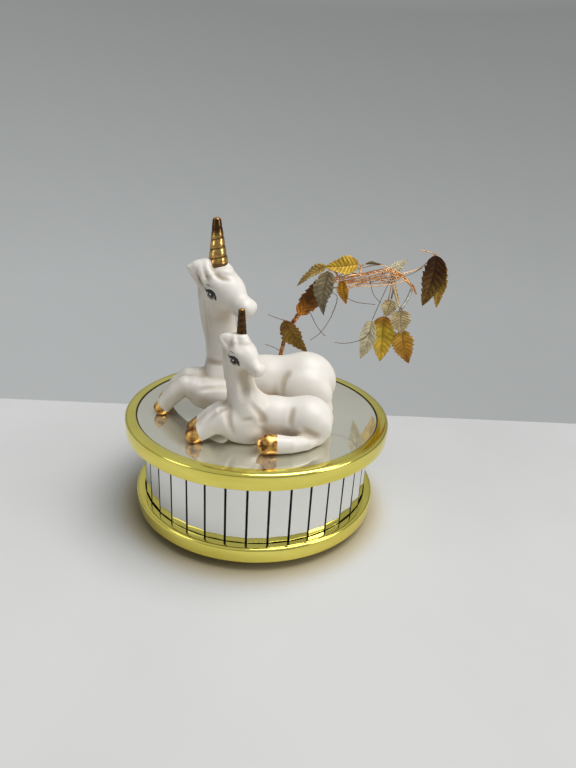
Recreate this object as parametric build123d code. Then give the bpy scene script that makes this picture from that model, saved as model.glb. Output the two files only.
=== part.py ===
"""Revolving musical ornament: two porcelain unicorns and a wire tree on a mirrored drum.

Millimetres, +Z up. The origin is on the drum's axis, on the surface that the foot stands on.
The foot stays still. The drum turns on the winding stem and carries the movement round with it.
"""
import math
import os

from build123d import *

# Stack of the base, from the floor upwards
FELT_THICKNESS = 1.2
FOOT_THICKNESS = 2.8
FOOT_GAP = 1.2
BOTTOM_THICKNESS = 3.0
SHELL_HEIGHT = 34.8
BOARD_THICKNESS = 3.4
MIRROR_THICKNESS = 2.0

# Radii of the base
FELT_RADIUS = 37.0
FOOT_RADIUS = 38.0
UPPER_RIM_RADIUS = 62.0
UPPER_LIP_WIDTH = 5.0
UPPER_OVERHANG = 8.0
LOWER_OVERHANG = 4.4
SHELL_WALL = 2.3

# Rims and mirror strips
RIM_WALL = 1.0
RIM_LIP = 0.8
RIM_ROUND = 0.7
UPPER_RIM_HEIGHT = 7.2
LOWER_RIM_HEIGHT = 6.8
LOWER_RIM_DROP = 0.4
STRIP_COUNT = 38
STRIP_THICKNESS = 1.6
STRIP_GAP = 0.35
STRIP_HEAD_GAP = 0.2

# Clearances
FIT = 0.1
RUNNING = 0.05
SEAT = 0.02
CUT_OVERRUN = 1.0

# Screws
SCREW_RADIUS = 1.2
SCREW_HEAD_RADIUS = 2.6
SCREW_HEAD_HEIGHT = 1.4
SCREW_SLOT_WIDTH = 0.6
SCREW_SLOT_DEPTH = 0.5
SHELL_SCREW_COUNT = 3
SHELL_SCREW_LENGTH = 11.0
SHELL_SCREW_START = 60.0
BOSS_RADIUS = 4.2
BOSS_BITE = 0.7
BOSS_HEIGHT = 14.0

# Winding stem
STEM_RADIUS = 2.0
COLLAR_RADIUS = 5.0
WASHER_THICKNESS = 0.6
NUT_RADIUS = 3.8
NUT_HEIGHT = 1.3
NUT_SIDES = 6
CLIP_RADIUS = 3.6
CLIP_THICKNESS = 0.6
STEM_CLEARANCE_RADIUS = 9.0

# Movement: bedplate, spring and main gear
BEDPLATE_THICKNESS = 2.0
BEDPLATE_MARGIN = 2.0
BEDPLATE_EDGE_GAP = 1.0
GEAR_GAP = 0.4
CROWN_TEETH = 36
CROWN_RADIUS = 13.2
CROWN_FACE = 1.7
CROWN_DISC_THICKNESS = 0.9
CROWN_HUB_RADIUS = 3.4
CROWN_HUB_RISE = 0.75
TOOTH_DEPTH = 1.66
TOOTH_FOOT_SHARE = 0.5
TOOTH_TIP_SHARE = 0.22
HOUSING_SIDE_GAP = 0.7
HOUSING_WALL = 0.7
HOUSING_HEIGHT = 9.0
HOUSING_CLEARANCE = 0.45
HOUSING_ARM_WIDTH = 3.8
HOUSING_ARM_THICKNESS = 0.9
HOUSING_LEG_THICKNESS = 1.05
HOUSING_LEG_GAP = 0.9
HOUSING_ARM_ANGLES = (90, 180, 270)
COVER_THICKNESS = 0.6
COVER_OVERHANG = 0.4
SPRING_STRIP = 0.4
SPRING_PITCH = 1.2
SPRING_END_GAP = 0.4
SPRING_SIDE_GAP = 0.3

# Movement: tune cylinder and comb
PINION_TEETH = 12
PINION_WIDTH = 1.5
CYLINDER_RADIUS = 3.75
CYLINDER_SHAFT_RADIUS = 0.7
PIN_RADIUS = 0.15
PIN_HEIGHT = 0.4
PIN_TRACKS = 18
PINS_PER_TRACK = 3
PIN_TURN = 137.5
CYLINDER_LENGTH = 13.5
TRAIN_GAP = 0.6
BEARING_THICKNESS = 0.9
BEARING_HALF_WIDTH = 3.0
BEARING_RISE = 2.2
COMB_THICKNESS = 0.7
COMB_TIP_GAP = 0.2
COMB_TOOTH_SHARE = 0.65
COMB_TOOTH_LONG = 10.8
COMB_TOOTH_SHORT = 7.2
COMB_DEPTH = 16.0
COMB_SEAT_DEPTH = 5.4
COMB_SCREW_SPACING = 6.8

# Movement: governor
CYLINDER_GEAR_TEETH = 22
CYLINDER_GEAR_MODULE = 0.45
GOVERNOR_PINION_TEETH = 12
GEAR_WIDTH = 1.5
WORM_WHEEL_TEETH = 14
WORM_MODULE = 0.38
WORM_WHEEL_WIDTH = 0.9
WORM_RADIUS = 1.35
WORM_TURNS = 5.5
WORM_ROOT_OVERLAP = 0.15
GOVERNOR_AXLE_RADIUS = 0.45
SPINDLE_RADIUS = 0.45
SPINDLE_ABOVE = 8.7
FAN_HALF_SPAN = 3.4
FAN_HEIGHT = 3.4
FAN_THICKNESS = 0.3
FAN_HUB_RADIUS = 1.0
FAN_RISE = 4.1
FRAME_THICKNESS = 0.8
FRAME_ARM_HALF_WIDTH = 1.1
FRAME_POST_OFFSET = 3.8
FRAME_PIVOT_GAP = 0.22
ADDENDUM_SHARE = 0.8
DEDENDUM_SHARE = 1.1
GEAR_FOOT_SHARE = 0.56
GEAR_TIP_SHARE = 0.2

# Unicorns: length from fore hoof to rump, height from base to horn tip, and gaps between them
MARE_LENGTH = 82.0
MARE_HEIGHT = 87.0
MARE_AHEAD_SHARE = 0.335
MARE_HORN_LENGTH = 21.0
MARE_HORN_FOOT = 4.7
MARE_HORN_TIP = 1.7
FOAL_LENGTH = 60.0
FOAL_HEIGHT = 55.6
FOAL_X = 4.0
FOAL_EDGE_GAP = 9.5
FIGURE_GAP = 1.3
FOAL_HORN_LENGTH = 11.0
FOAL_HORN_FOOT = 1.8
FOAL_HORN_TIP = 1.0
CAST_WALL = 3.2
VENT_RADIUS = 2.0

# Wire tree
TREE_X = 8.7
TREE_GAP = 13.7
TREE_REACH = 74.0
TREE_HEIGHT = 75.0
TRUNK_RADIUS = 1.2
BRANCH_RADIUS = 0.6
TWIG_RADIUS = 0.35
LEAF_LENGTH = 23.0
LEAF_WIDTH = 11.5
LEAF_THICKNESS = 0.3

# Heights that follow from the stack
FOOT_Z = FELT_THICKNESS
FOOT_TOP = FOOT_Z + FOOT_THICKNESS
BOTTOM_Z = FOOT_TOP + FOOT_GAP
BOTTOM_TOP = BOTTOM_Z + BOTTOM_THICKNESS
SHELL_TOP = BOTTOM_TOP + SHELL_HEIGHT
BOARD_TOP = SHELL_TOP + BOARD_THICKNESS
MIRROR_TOP = BOARD_TOP + MIRROR_THICKNESS
BEDPLATE_TOP = BOTTOM_TOP + BEDPLATE_THICKNESS
CROWN_Z = BEDPLATE_TOP + GEAR_GAP
CROWN_ROOT_Z = CROWN_Z + CROWN_DISC_THICKNESS
CROWN_PITCH_Z = CROWN_ROOT_Z + TOOTH_DEPTH / 2
HOUSING_Z = CROWN_ROOT_Z + CROWN_HUB_RISE + HOUSING_CLEARANCE
HOUSING_TOP = HOUSING_Z + HOUSING_HEIGHT
COVER_TOP = HOUSING_TOP + COVER_THICKNESS

# Radii and places that follow
MIRROR_SHOWN_RADIUS = UPPER_RIM_RADIUS - UPPER_LIP_WIDTH
STRIP_APOTHEM = UPPER_RIM_RADIUS - UPPER_OVERHANG
LOWER_RIM_RADIUS = STRIP_APOTHEM + LOWER_OVERHANG
SHELL_RADIUS = STRIP_APOTHEM - STRIP_THICKNESS - FIT
SHELL_INNER = SHELL_RADIUS - SHELL_WALL
BOSS_CIRCLE_RADIUS = SHELL_INNER - BOSS_RADIUS + BOSS_BITE
STRIP_PITCH = 360 / STRIP_COUNT
STRIP_CORNER = STRIP_APOTHEM / math.cos(math.radians(STRIP_PITCH / 2))
PINION_RADIUS = CROWN_RADIUS * PINION_TEETH / CROWN_TEETH
CYLINDER_Z = CROWN_PITCH_Z + PINION_RADIUS
PINION_X = CROWN_RADIUS - PINION_WIDTH / 2
CROWN_OUTER = CROWN_RADIUS + CROWN_FACE / 2
HOUSING_RADIUS = CROWN_RADIUS - CROWN_FACE / 2 - HOUSING_SIDE_GAP
INNER_BEARING_X = CROWN_OUTER + TRAIN_GAP
CYLINDER_X = INNER_BEARING_X + BEARING_THICKNESS + TRAIN_GAP
TRACK_PITCH = CYLINDER_LENGTH / PIN_TRACKS
CYLINDER_END = CYLINDER_X + CYLINDER_LENGTH
GEAR_X = CYLINDER_END + TRAIN_GAP
GEAR_END = GEAR_X + GEAR_WIDTH
OUTER_BEARING_X = GEAR_END + TRAIN_GAP
CYLINDER_GEAR_RADIUS = CYLINDER_GEAR_TEETH * CYLINDER_GEAR_MODULE / 2
GOVERNOR_PINION_RADIUS = GOVERNOR_PINION_TEETH * CYLINDER_GEAR_MODULE / 2
GOVERNOR_Y = CYLINDER_GEAR_RADIUS + GOVERNOR_PINION_RADIUS
WORM_WHEEL_RADIUS = WORM_WHEEL_TEETH * WORM_MODULE / 2
WORM_Y = GOVERNOR_Y + WORM_WHEEL_RADIUS + WORM_RADIUS
WORM_X = GEAR_X - TRAIN_GAP - FRAME_THICKNESS - WORM_WHEEL_WIDTH
WORM_LEAD = math.pi * WORM_MODULE
SPINDLE_TOP = CYLINDER_Z + SPINDLE_ABOVE
COMB_Z = CYLINDER_Z - COMB_THICKNESS / 2
COMB_TIP_Y = -(CYLINDER_RADIUS + PIN_HEIGHT + COMB_TIP_GAP)
COMB_BACK_Y = COMB_TIP_Y - COMB_DEPTH
FRAME_POST_Y = WORM_Y + FRAME_POST_OFFSET
BEDPLATE_LEFT = CROWN_OUTER + HOUSING_LEG_GAP + HOUSING_LEG_THICKNESS + BEDPLATE_MARGIN
BEDPLATE_RIGHT = OUTER_BEARING_X + BEARING_THICKNESS + BEDPLATE_MARGIN
BEDPLATE_FRONT = BEDPLATE_MARGIN - COMB_BACK_Y
BEDPLATE_BACK = FRAME_POST_Y + FRAME_THICKNESS + BEDPLATE_MARGIN

BASE = (Align.CENTER, Align.CENTER, Align.MIN)


def rod(radius, low, high, x=0, y=0):
    """Upright round bar between two heights."""
    return Pos(x, y, low) * Cylinder(radius, high - low, align=BASE)


def rod_x(radius, start, end, y, z):
    """Round bar along X between two places."""
    return Pos(start, y, z) * Rot(0, 90, 0) * Cylinder(radius, end - start, align=BASE)


def block(x_span, y_span, z_span):
    """Box from three (low, high) pairs."""
    low = [span[0] for span in (x_span, y_span, z_span)]
    size = [span[1] - span[0] for span in (x_span, y_span, z_span)]
    return Pos(*low) * Box(*size, align=(Align.MIN, Align.MIN, Align.MIN))


def polar(radius, degrees):
    """Plane point at a radius and an angle."""
    turn = math.radians(degrees)
    return radius * math.cos(turn), radius * math.sin(turn)


def gear_disc(teeth, module, width):
    """Spur gear with straight-flanked teeth, one tooth centred on local +X."""
    pitch = math.pi * module
    radius = teeth * module / 2
    foot, tip = radius - DEDENDUM_SHARE * module, radius + ADDENDUM_SHARE * module
    points = []
    for tooth in range(teeth):
        middle = 360 * tooth / teeth
        for reach, share, side in (
            (foot, GEAR_FOOT_SHARE, -1),
            (tip, GEAR_TIP_SHARE, -1),
            (tip, GEAR_TIP_SHARE, 1),
            (foot, GEAR_FOOT_SHARE, 1),
        ):
            half = math.degrees(share * pitch / 2 / radius)
            points.append(polar(reach, middle + side * half))
    return extrude(make_face(Polyline(*points, close=True)), width)


def along_x(solid, start, y, z):
    """Turns a solid built along +Z to run along +X from a place."""
    return Pos(start, y, z) * Rot(0, 90, 0) * solid


def screw(length, x, y, head_z):
    """Slotted round-head screw pointing up, its head's lower face at head_z."""
    head = rod(SCREW_HEAD_RADIUS, head_z, head_z + SCREW_HEAD_HEIGHT, x, y)
    shank = rod(SCREW_RADIUS, head_z, head_z + SCREW_HEAD_HEIGHT + length, x, y)
    half = SCREW_SLOT_WIDTH / 2
    slot = block(
        (x - SCREW_HEAD_RADIUS, x + SCREW_HEAD_RADIUS),
        (y - half, y + half),
        (head_z, head_z + SCREW_SLOT_DEPTH),
    )
    return head + shank - slot


def screw_hole(x, y):
    """Counterbored hole through the bottom plate for one screw."""
    bore = rod(SCREW_RADIUS + FIT, BOTTOM_Z - CUT_OVERRUN, BOTTOM_TOP + CUT_OVERRUN, x, y)
    seat = rod(SCREW_HEAD_RADIUS + FIT, BOTTOM_Z - CUT_OVERRUN, BOTTOM_Z + SCREW_HEAD_HEIGHT, x, y)
    return bore + seat


def down_screw(x, y, seat_z, depth):
    """Screw pointing down, seated on a face at seat_z."""
    return Pos(x, y, seat_z + SCREW_HEAD_HEIGHT) * Rot(180, 0, 0) * screw(depth, 0, 0, 0)


BOSS_PLACES = [
    polar(BOSS_CIRCLE_RADIUS, SHELL_SCREW_START + 360 * i / SHELL_SCREW_COUNT)
    for i in range(SHELL_SCREW_COUNT)
]
MOVEMENT_SCREW_X_SHARE = 0.8
MOVEMENT_SCREW_Y_SHARE = 0.75
MOVEMENT_SCREW_PLACES = [
    (-BEDPLATE_LEFT * MOVEMENT_SCREW_X_SHARE, BEDPLATE_BACK * MOVEMENT_SCREW_Y_SHARE),
    (-BEDPLATE_LEFT * MOVEMENT_SCREW_X_SHARE, -BEDPLATE_FRONT * MOVEMENT_SCREW_Y_SHARE),
    (BEDPLATE_RIGHT * MOVEMENT_SCREW_X_SHARE, -BEARING_HALF_WIDTH - 2 * SCREW_HEAD_RADIUS),
]


# Foot and winding stem

def felt_pad():
    return rod(FELT_RADIUS, 0, FELT_THICKNESS)


def foot_plate():
    plate = rod(FOOT_RADIUS, FOOT_Z, FOOT_TOP)
    plate = fillet(plate.edges().group_by(Axis.Z)[-1], FOOT_THICKNESS / 3)
    recess = rod(NUT_RADIUS + FIT, FOOT_Z - CUT_OVERRUN, FOOT_Z + NUT_HEIGHT + FIT)
    bore = rod(STEM_RADIUS + SEAT, FOOT_Z, FOOT_TOP + CUT_OVERRUN)
    return plate - recess - bore


def stem_nut():
    hexagon = extrude(RegularPolygon(NUT_RADIUS, NUT_SIDES), NUT_HEIGHT)
    bore = rod(STEM_RADIUS + SEAT, -CUT_OVERRUN, NUT_HEIGHT + CUT_OVERRUN)
    return Pos(0, 0, FOOT_Z + FIT) * (hexagon - bore)


def winding_stem():
    top = COVER_TOP + CLIP_THICKNESS + 2 * FIT + RIM_LIP
    stem = rod(STEM_RADIUS, FOOT_Z + FIT, top)
    return stem + rod(COLLAR_RADIUS, FOOT_TOP, BOTTOM_TOP - FIT - WASHER_THICKNESS)


def thrust_washer():
    low = BOTTOM_TOP - FIT - WASHER_THICKNESS
    ring = rod(COLLAR_RADIUS, low, low + WASHER_THICKNESS)
    return ring - rod(STEM_RADIUS + SEAT, low - CUT_OVERRUN, BOTTOM_TOP)


def stem_clip():
    low = COVER_TOP + FIT
    ring = rod(CLIP_RADIUS, low, low + CLIP_THICKNESS)
    return ring - rod(STEM_RADIUS + SEAT, low - CUT_OVERRUN, low + CLIP_THICKNESS + CUT_OVERRUN)


def main_gear():
    """Crown wheel whose teeth stand up from the rim of a disc, with a gap on +X."""
    pitch = 2 * math.pi * CROWN_RADIUS / CROWN_TEETH
    foot, tip = TOOTH_FOOT_SHARE * pitch / 2, TOOTH_TIP_SHARE * pitch / 2
    profile = make_face(
        Polyline((-foot, 0), (-tip, TOOTH_DEPTH), (tip, TOOTH_DEPTH), (foot, 0), close=True)
    )
    inner = CROWN_RADIUS - CROWN_FACE / 2
    stand = Plane((inner, 0, CROWN_ROOT_Z), x_dir=(0, 1, 0), z_dir=(1, 0, 0))
    tooth = extrude(stand * profile, CROWN_FACE)
    teeth = [Rot(0, 0, 360 * (i + 1 / 2) / CROWN_TEETH) * tooth for i in range(CROWN_TEETH)]
    disc = rod(CROWN_OUTER, CROWN_Z, CROWN_ROOT_Z)
    hub = rod(CROWN_HUB_RADIUS, CROWN_Z, CROWN_ROOT_Z + CROWN_HUB_RISE)
    wheel = disc.fuse(hub, *teeth)
    return wheel - rod(STEM_RADIUS + SEAT, CROWN_Z - CUT_OVERRUN, HOUSING_Z)


# Drum casing

def bottom_plate():
    radius = LOWER_RIM_RADIUS - RIM_WALL - FIT
    plate = rod(radius, BOTTOM_Z, BOTTOM_TOP)
    plate -= rod(STEM_CLEARANCE_RADIUS, BOTTOM_Z - CUT_OVERRUN, BOTTOM_TOP + CUT_OVERRUN)
    for x, y in BOSS_PLACES + MOVEMENT_SCREW_PLACES:
        plate -= screw_hole(x, y)
    return plate


def bottom_screws():
    return Compound([screw(SHELL_SCREW_LENGTH, x, y, BOTTOM_Z) for x, y in BOSS_PLACES])


def drum_shell():
    shell = rod(SHELL_RADIUS, BOTTOM_TOP, SHELL_TOP)
    shell -= rod(SHELL_INNER, BOTTOM_TOP - CUT_OVERRUN, SHELL_TOP + CUT_OVERRUN)
    for x, y in BOSS_PLACES:
        shell += rod(BOSS_RADIUS, BOTTOM_TOP, BOTTOM_TOP + BOSS_HEIGHT, x, y)
        shell -= rod(SCREW_RADIUS + SEAT, BOTTOM_TOP - CUT_OVERRUN, BOTTOM_Z + BOSS_HEIGHT, x, y)
    return shell


def mirror_strips():
    width = 2 * STRIP_APOTHEM * math.tan(math.radians(STRIP_PITCH / 2)) - STRIP_GAP
    top = SHELL_TOP - STRIP_HEAD_GAP
    strip = block(
        (STRIP_APOTHEM - STRIP_THICKNESS, STRIP_APOTHEM), (-width / 2, width / 2), (BOTTOM_TOP, top)
    )
    return Compound([Rot(0, 0, STRIP_PITCH * i) * strip for i in range(STRIP_COUNT)])


def rim(radius, low, high, lip_inner):
    """Rolled band with a lip turned in at its top, rounded on the outside."""
    wall = radius - RIM_WALL
    band = rod(radius, low, high) - rod(wall, low - CUT_OVERRUN, high - RIM_LIP)
    band -= rod(lip_inner, low - CUT_OVERRUN, high + CUT_OVERRUN)
    outer = [e for e in band.edges().filter_by(GeomType.CIRCLE) if e.radius > wall + RIM_WALL / 2]
    return fillet(outer, RIM_ROUND)


def lower_rim():
    low = BOTTOM_Z - LOWER_RIM_DROP
    return rim(LOWER_RIM_RADIUS, low, low + LOWER_RIM_HEIGHT, STRIP_CORNER + FIT)


def upper_rim():
    high = MIRROR_TOP + RIM_LIP
    return rim(UPPER_RIM_RADIUS, high - UPPER_RIM_HEIGHT, high, MIRROR_SHOWN_RADIUS)


def trunk_bore():
    return rod(TRUNK_RADIUS + FIT, SHELL_TOP - CUT_OVERRUN, MIRROR_TOP + CUT_OVERRUN, TREE_X, TREE_Y)


def top_board():
    return rod(UPPER_RIM_RADIUS - RIM_WALL - FIT, SHELL_TOP, BOARD_TOP) - trunk_bore()


def top_mirror():
    return rod(UPPER_RIM_RADIUS - RIM_WALL - FIT, BOARD_TOP, MIRROR_TOP) - trunk_bore()


# Music movement

def bedplate():
    plate = block(
        (-BEDPLATE_LEFT, BEDPLATE_RIGHT), (-BEDPLATE_FRONT, BEDPLATE_BACK), (BOTTOM_TOP, BEDPLATE_TOP)
    )
    plate &= rod(SHELL_INNER - BEDPLATE_EDGE_GAP, BOTTOM_TOP, BEDPLATE_TOP)
    plate -= rod(STEM_RADIUS + RUNNING, BOTTOM_TOP - CUT_OVERRUN, BEDPLATE_TOP + CUT_OVERRUN)
    for x, y in MOVEMENT_SCREW_PLACES:
        plate -= rod(SCREW_RADIUS + SEAT, BOTTOM_TOP - CUT_OVERRUN, BEDPLATE_TOP + CUT_OVERRUN, x, y)
    return plate


def movement_screws():
    length = BEDPLATE_TOP - BOTTOM_Z - SCREW_HEAD_HEIGHT
    return Compound([screw(length, x, y, BOTTOM_Z) for x, y in MOVEMENT_SCREW_PLACES])


def spring_housing():
    """Open cup on three bent arms that stand on the bedplate outside the main gear."""
    cup = rod(HOUSING_RADIUS, HOUSING_Z, HOUSING_TOP)
    cup -= rod(HOUSING_RADIUS - HOUSING_WALL, HOUSING_Z + HOUSING_WALL, HOUSING_TOP + CUT_OVERRUN)
    leg = CROWN_OUTER + HOUSING_LEG_GAP
    half = HOUSING_ARM_WIDTH / 2
    arm = block(
        (HOUSING_RADIUS - HOUSING_WALL, leg + HOUSING_LEG_THICKNESS),
        (-half, half),
        (HOUSING_TOP - HOUSING_ARM_THICKNESS, HOUSING_TOP),
    )
    arm += block((leg, leg + HOUSING_LEG_THICKNESS), (-half, half), (BEDPLATE_TOP, HOUSING_TOP))
    for angle in HOUSING_ARM_ANGLES:
        cup += Rot(0, 0, angle) * arm
    return cup - rod(STEM_RADIUS + RUNNING, HOUSING_Z - CUT_OVERRUN, HOUSING_TOP)


def spring_cover():
    lid = rod(HOUSING_RADIUS + COVER_OVERHANG, HOUSING_TOP, COVER_TOP)
    return lid - rod(STEM_RADIUS + RUNNING, HOUSING_TOP - CUT_OVERRUN, COVER_TOP + CUT_OVERRUN)


def half_turns(start, step, count):
    """Arcs of half a turn each that spiral out from (start, 0), as (radius, centre x, first side)."""
    radius, centre = start, 0
    side = 1
    for _ in range(count):
        yield radius, centre, side
        centre += side * step
        radius += step
        side = -side


def mainspring():
    """Flat spiral strip between the stem and the cup's wall."""
    inner = STEM_RADIUS + SPRING_END_GAP
    step = SPRING_PITCH / 2
    room = HOUSING_RADIUS - HOUSING_WALL - SPRING_END_GAP - SPRING_STRIP - inner
    count = int(room / step)
    near, far = [], []
    for radius, centre, side in half_turns(inner, step, count):
        for edge, reach in ((near, radius), (far, radius + SPRING_STRIP)):
            begin = (centre + side * reach, 0)
            middle = (centre, side * reach)
            end = (centre - side * reach, 0)
            edge.append(ThreePointArc(begin, middle, end))
    caps = [Line(near[0] @ 0, far[0] @ 0), Line(near[-1] @ 1, far[-1] @ 1)]
    low = HOUSING_Z + HOUSING_WALL + SPRING_SIDE_GAP
    strip = make_face(Wire(near + far + caps))
    return Pos(0, 0, low) * extrude(strip, HOUSING_TOP - SPRING_SIDE_GAP - low)


def tune_cylinder():
    """Brass cylinder with its tune pins, on the shaft's bore."""
    body = rod(CYLINDER_RADIUS, 0, CYLINDER_LENGTH)
    pins = []
    for track in range(PIN_TRACKS):
        for i in range(PINS_PER_TRACK):
            turn = PIN_TURN * (track * PINS_PER_TRACK + i)
            pin = rod_x(PIN_RADIUS, CYLINDER_RADIUS - PIN_HEIGHT, CYLINDER_RADIUS + PIN_HEIGHT, 0, 0)
            pins.append(Rot(0, 0, turn) * Pos(0, 0, TRACK_PITCH * (track + 1 / 2)) * pin)
    body = body.fuse(*pins)
    bore = rod(CYLINDER_SHAFT_RADIUS + SEAT, -CUT_OVERRUN, CYLINDER_LENGTH + CUT_OVERRUN)
    return along_x(body - bore, CYLINDER_X, 0, CYLINDER_Z)


def on_shaft(solid, width, start):
    """Bores a wheel for the cylinder's shaft and sets it on that shaft."""
    bore = rod(CYLINDER_SHAFT_RADIUS + SEAT, -CUT_OVERRUN, width + CUT_OVERRUN)
    return along_x(solid - bore, start, 0, CYLINDER_Z)


def cylinder_pinion():
    module = 2 * CROWN_RADIUS / CROWN_TEETH
    return on_shaft(gear_disc(PINION_TEETH, module, PINION_WIDTH), PINION_WIDTH, PINION_X)


def cylinder_gear():
    return on_shaft(gear_disc(CYLINDER_GEAR_TEETH, CYLINDER_GEAR_MODULE, GEAR_WIDTH), GEAR_WIDTH, GEAR_X)


def cylinder_shaft():
    end = OUTER_BEARING_X + BEARING_THICKNESS + FIT
    return rod_x(CYLINDER_SHAFT_RADIUS, PINION_X, end, 0, CYLINDER_Z)


def bearing(start):
    """Upright plate that carries the cylinder's shaft."""
    plate = block(
        (start, start + BEARING_THICKNESS),
        (-BEARING_HALF_WIDTH, BEARING_HALF_WIDTH),
        (BEDPLATE_TOP, CYLINDER_Z + BEARING_RISE),
    )
    end = start + BEARING_THICKNESS
    hole = rod_x(CYLINDER_SHAFT_RADIUS + RUNNING, start - CUT_OVERRUN, end + CUT_OVERRUN, 0, CYLINDER_Z)
    return plate - hole


COMB_SCREW_PLACES = [
    (CYLINDER_X + CYLINDER_LENGTH / 2 + side * COMB_SCREW_SPACING / 2, COMB_BACK_Y + COMB_SEAT_DEPTH / 2)
    for side in (-1, 1)
]


def comb_seat():
    front = COMB_BACK_Y + COMB_SEAT_DEPTH
    seat = block((CYLINDER_X, CYLINDER_END), (COMB_BACK_Y, front), (BEDPLATE_TOP, COMB_Z))
    for x, y in COMB_SCREW_PLACES:
        seat -= rod(SCREW_RADIUS + SEAT, BEDPLATE_TOP, COMB_Z + CUT_OVERRUN, x, y)
    return seat


def comb():
    """Steel comb with one tooth for each track, longer towards the bass end."""
    low, high = COMB_Z, COMB_Z + COMB_THICKNESS
    plate = block((CYLINDER_X, CYLINDER_END), (COMB_BACK_Y, COMB_TIP_Y), (low, high))
    slot = TRACK_PITCH * (1 - COMB_TOOTH_SHARE) / 2
    shorter = (COMB_TOOTH_LONG - COMB_TOOTH_SHORT) / (PIN_TRACKS - 1)
    for gap in range(PIN_TRACKS - 1):
        x = CYLINDER_X + TRACK_PITCH * (gap + 1)
        depth = COMB_TOOTH_LONG - shorter * gap
        plate -= block(
            (x - slot, x + slot),
            (COMB_TIP_Y - depth, COMB_TIP_Y + CUT_OVERRUN),
            (low - CUT_OVERRUN, high + CUT_OVERRUN),
        )
    for x, y in COMB_SCREW_PLACES:
        plate -= rod(SCREW_RADIUS + FIT, low - CUT_OVERRUN, high + CUT_OVERRUN, x, y)
    return plate


def comb_screws():
    seat = COMB_Z + COMB_THICKNESS
    depth = (seat - BEDPLATE_TOP) * 3 / 4
    return Compound([down_screw(x, y, seat, depth) for x, y in COMB_SCREW_PLACES])


def governor_frame():
    """Bent frame that carries the governor's axle and the upright spindle."""
    low = BEDPLATE_TOP
    floor_top = low + FRAME_THICKNESS
    ear_x = WORM_X - WORM_WHEEL_WIDTH - FRAME_THICKNESS
    far_x = OUTER_BEARING_X
    end_x = far_x + FRAME_THICKNESS
    back_y = FRAME_POST_Y + FRAME_THICKNESS
    ear_y = (GOVERNOR_Y - FRAME_ARM_HALF_WIDTH, GOVERNOR_Y + FRAME_ARM_HALF_WIDTH)
    arm_x = (WORM_X - FRAME_ARM_HALF_WIDTH, WORM_X + FRAME_ARM_HALF_WIDTH)
    arm_z = (SPINDLE_TOP - FRAME_THICKNESS, SPINDLE_TOP + FRAME_THICKNESS)
    frame = block((ear_x, end_x), (ear_y[0], back_y), (low, floor_top))
    for x in (ear_x, far_x):
        frame += block((x, x + FRAME_THICKNESS), ear_y, (low, CYLINDER_Z + BEARING_RISE / 2))
    frame += block(arm_x, (FRAME_POST_Y, back_y), (low, arm_z[1]))
    frame += block(arm_x, (WORM_Y - FRAME_ARM_HALF_WIDTH, FRAME_POST_Y), arm_z)
    axle_hole = GOVERNOR_AXLE_RADIUS + RUNNING
    frame -= rod_x(axle_hole, ear_x - CUT_OVERRUN, end_x + CUT_OVERRUN, GOVERNOR_Y, CYLINDER_Z)
    pivot_top = SPINDLE_TOP + FRAME_PIVOT_GAP
    frame -= rod(SPINDLE_RADIUS + RUNNING, low + FRAME_PIVOT_GAP, pivot_top, WORM_X, WORM_Y)
    return frame


def governor_axle():
    start = WORM_X - WORM_WHEEL_WIDTH - FRAME_THICKNESS
    return rod_x(GOVERNOR_AXLE_RADIUS, start, OUTER_BEARING_X + FRAME_THICKNESS, GOVERNOR_Y, CYLINDER_Z)


def on_axle(solid, width, start):
    """Bores a wheel for the governor's axle and sets it there."""
    bore = rod(GOVERNOR_AXLE_RADIUS + SEAT, -CUT_OVERRUN, width + CUT_OVERRUN)
    return along_x(solid - bore, start, GOVERNOR_Y, CYLINDER_Z)


def governor_pinion():
    return on_axle(gear_disc(GOVERNOR_PINION_TEETH, CYLINDER_GEAR_MODULE, GEAR_WIDTH), GEAR_WIDTH, GEAR_X)


def worm_wheel():
    wheel = gear_disc(WORM_WHEEL_TEETH, WORM_MODULE, WORM_WHEEL_WIDTH)
    return on_axle(wheel, WORM_WHEEL_WIDTH, WORM_X - WORM_WHEEL_WIDTH / 2)


def governor_worm():
    """Upright spindle with a right-hand thread that meets the worm wheel from behind."""
    tip = WORM_RADIUS + ADDENDUM_SHARE * WORM_MODULE
    core = WORM_RADIUS - DEDENDUM_SHARE * WORM_MODULE
    half_foot = GEAR_FOOT_SHARE * WORM_LEAD / 2
    half_tip = GEAR_TIP_SHARE * WORM_LEAD / 2
    height = WORM_TURNS * WORM_LEAD
    root = core - WORM_ROOT_OVERLAP
    profile = Plane.XZ * make_face(
        Polyline((root, -half_foot), (tip, -half_tip), (tip, half_tip), (root, half_foot), close=True)
    )
    thread = sweep(profile, Helix(WORM_LEAD, height, WORM_RADIUS), is_frenet=True)
    turns_below = WORM_TURNS / 2
    phase = turns_below - math.floor(turns_below) - 3 / 4
    start = CYLINDER_Z - (turns_below - phase) * WORM_LEAD
    thread = Pos(WORM_X, WORM_Y, start) * thread
    spindle = rod(SPINDLE_RADIUS, BEDPLATE_TOP + 2 * FRAME_PIVOT_GAP, SPINDLE_TOP, WORM_X, WORM_Y)
    body = rod(core, start - half_foot, start + height + half_foot, WORM_X, WORM_Y)
    return spindle + body + thread


def fan_blade():
    """Two-winged air brake on the spindle."""
    low = CYLINDER_Z + FAN_RISE
    high = low + FAN_HEIGHT
    half = FAN_THICKNESS / 2
    wings = block((-FAN_HALF_SPAN, FAN_HALF_SPAN), (-half, half), (low, high))
    fan = wings + rod(FAN_HUB_RADIUS, low, high)
    fan -= rod(SPINDLE_RADIUS + SEAT, low - CUT_OVERRUN, high + CUT_OVERRUN)
    return Pos(WORM_X, WORM_Y, 0) * fan


# Unicorns

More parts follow.
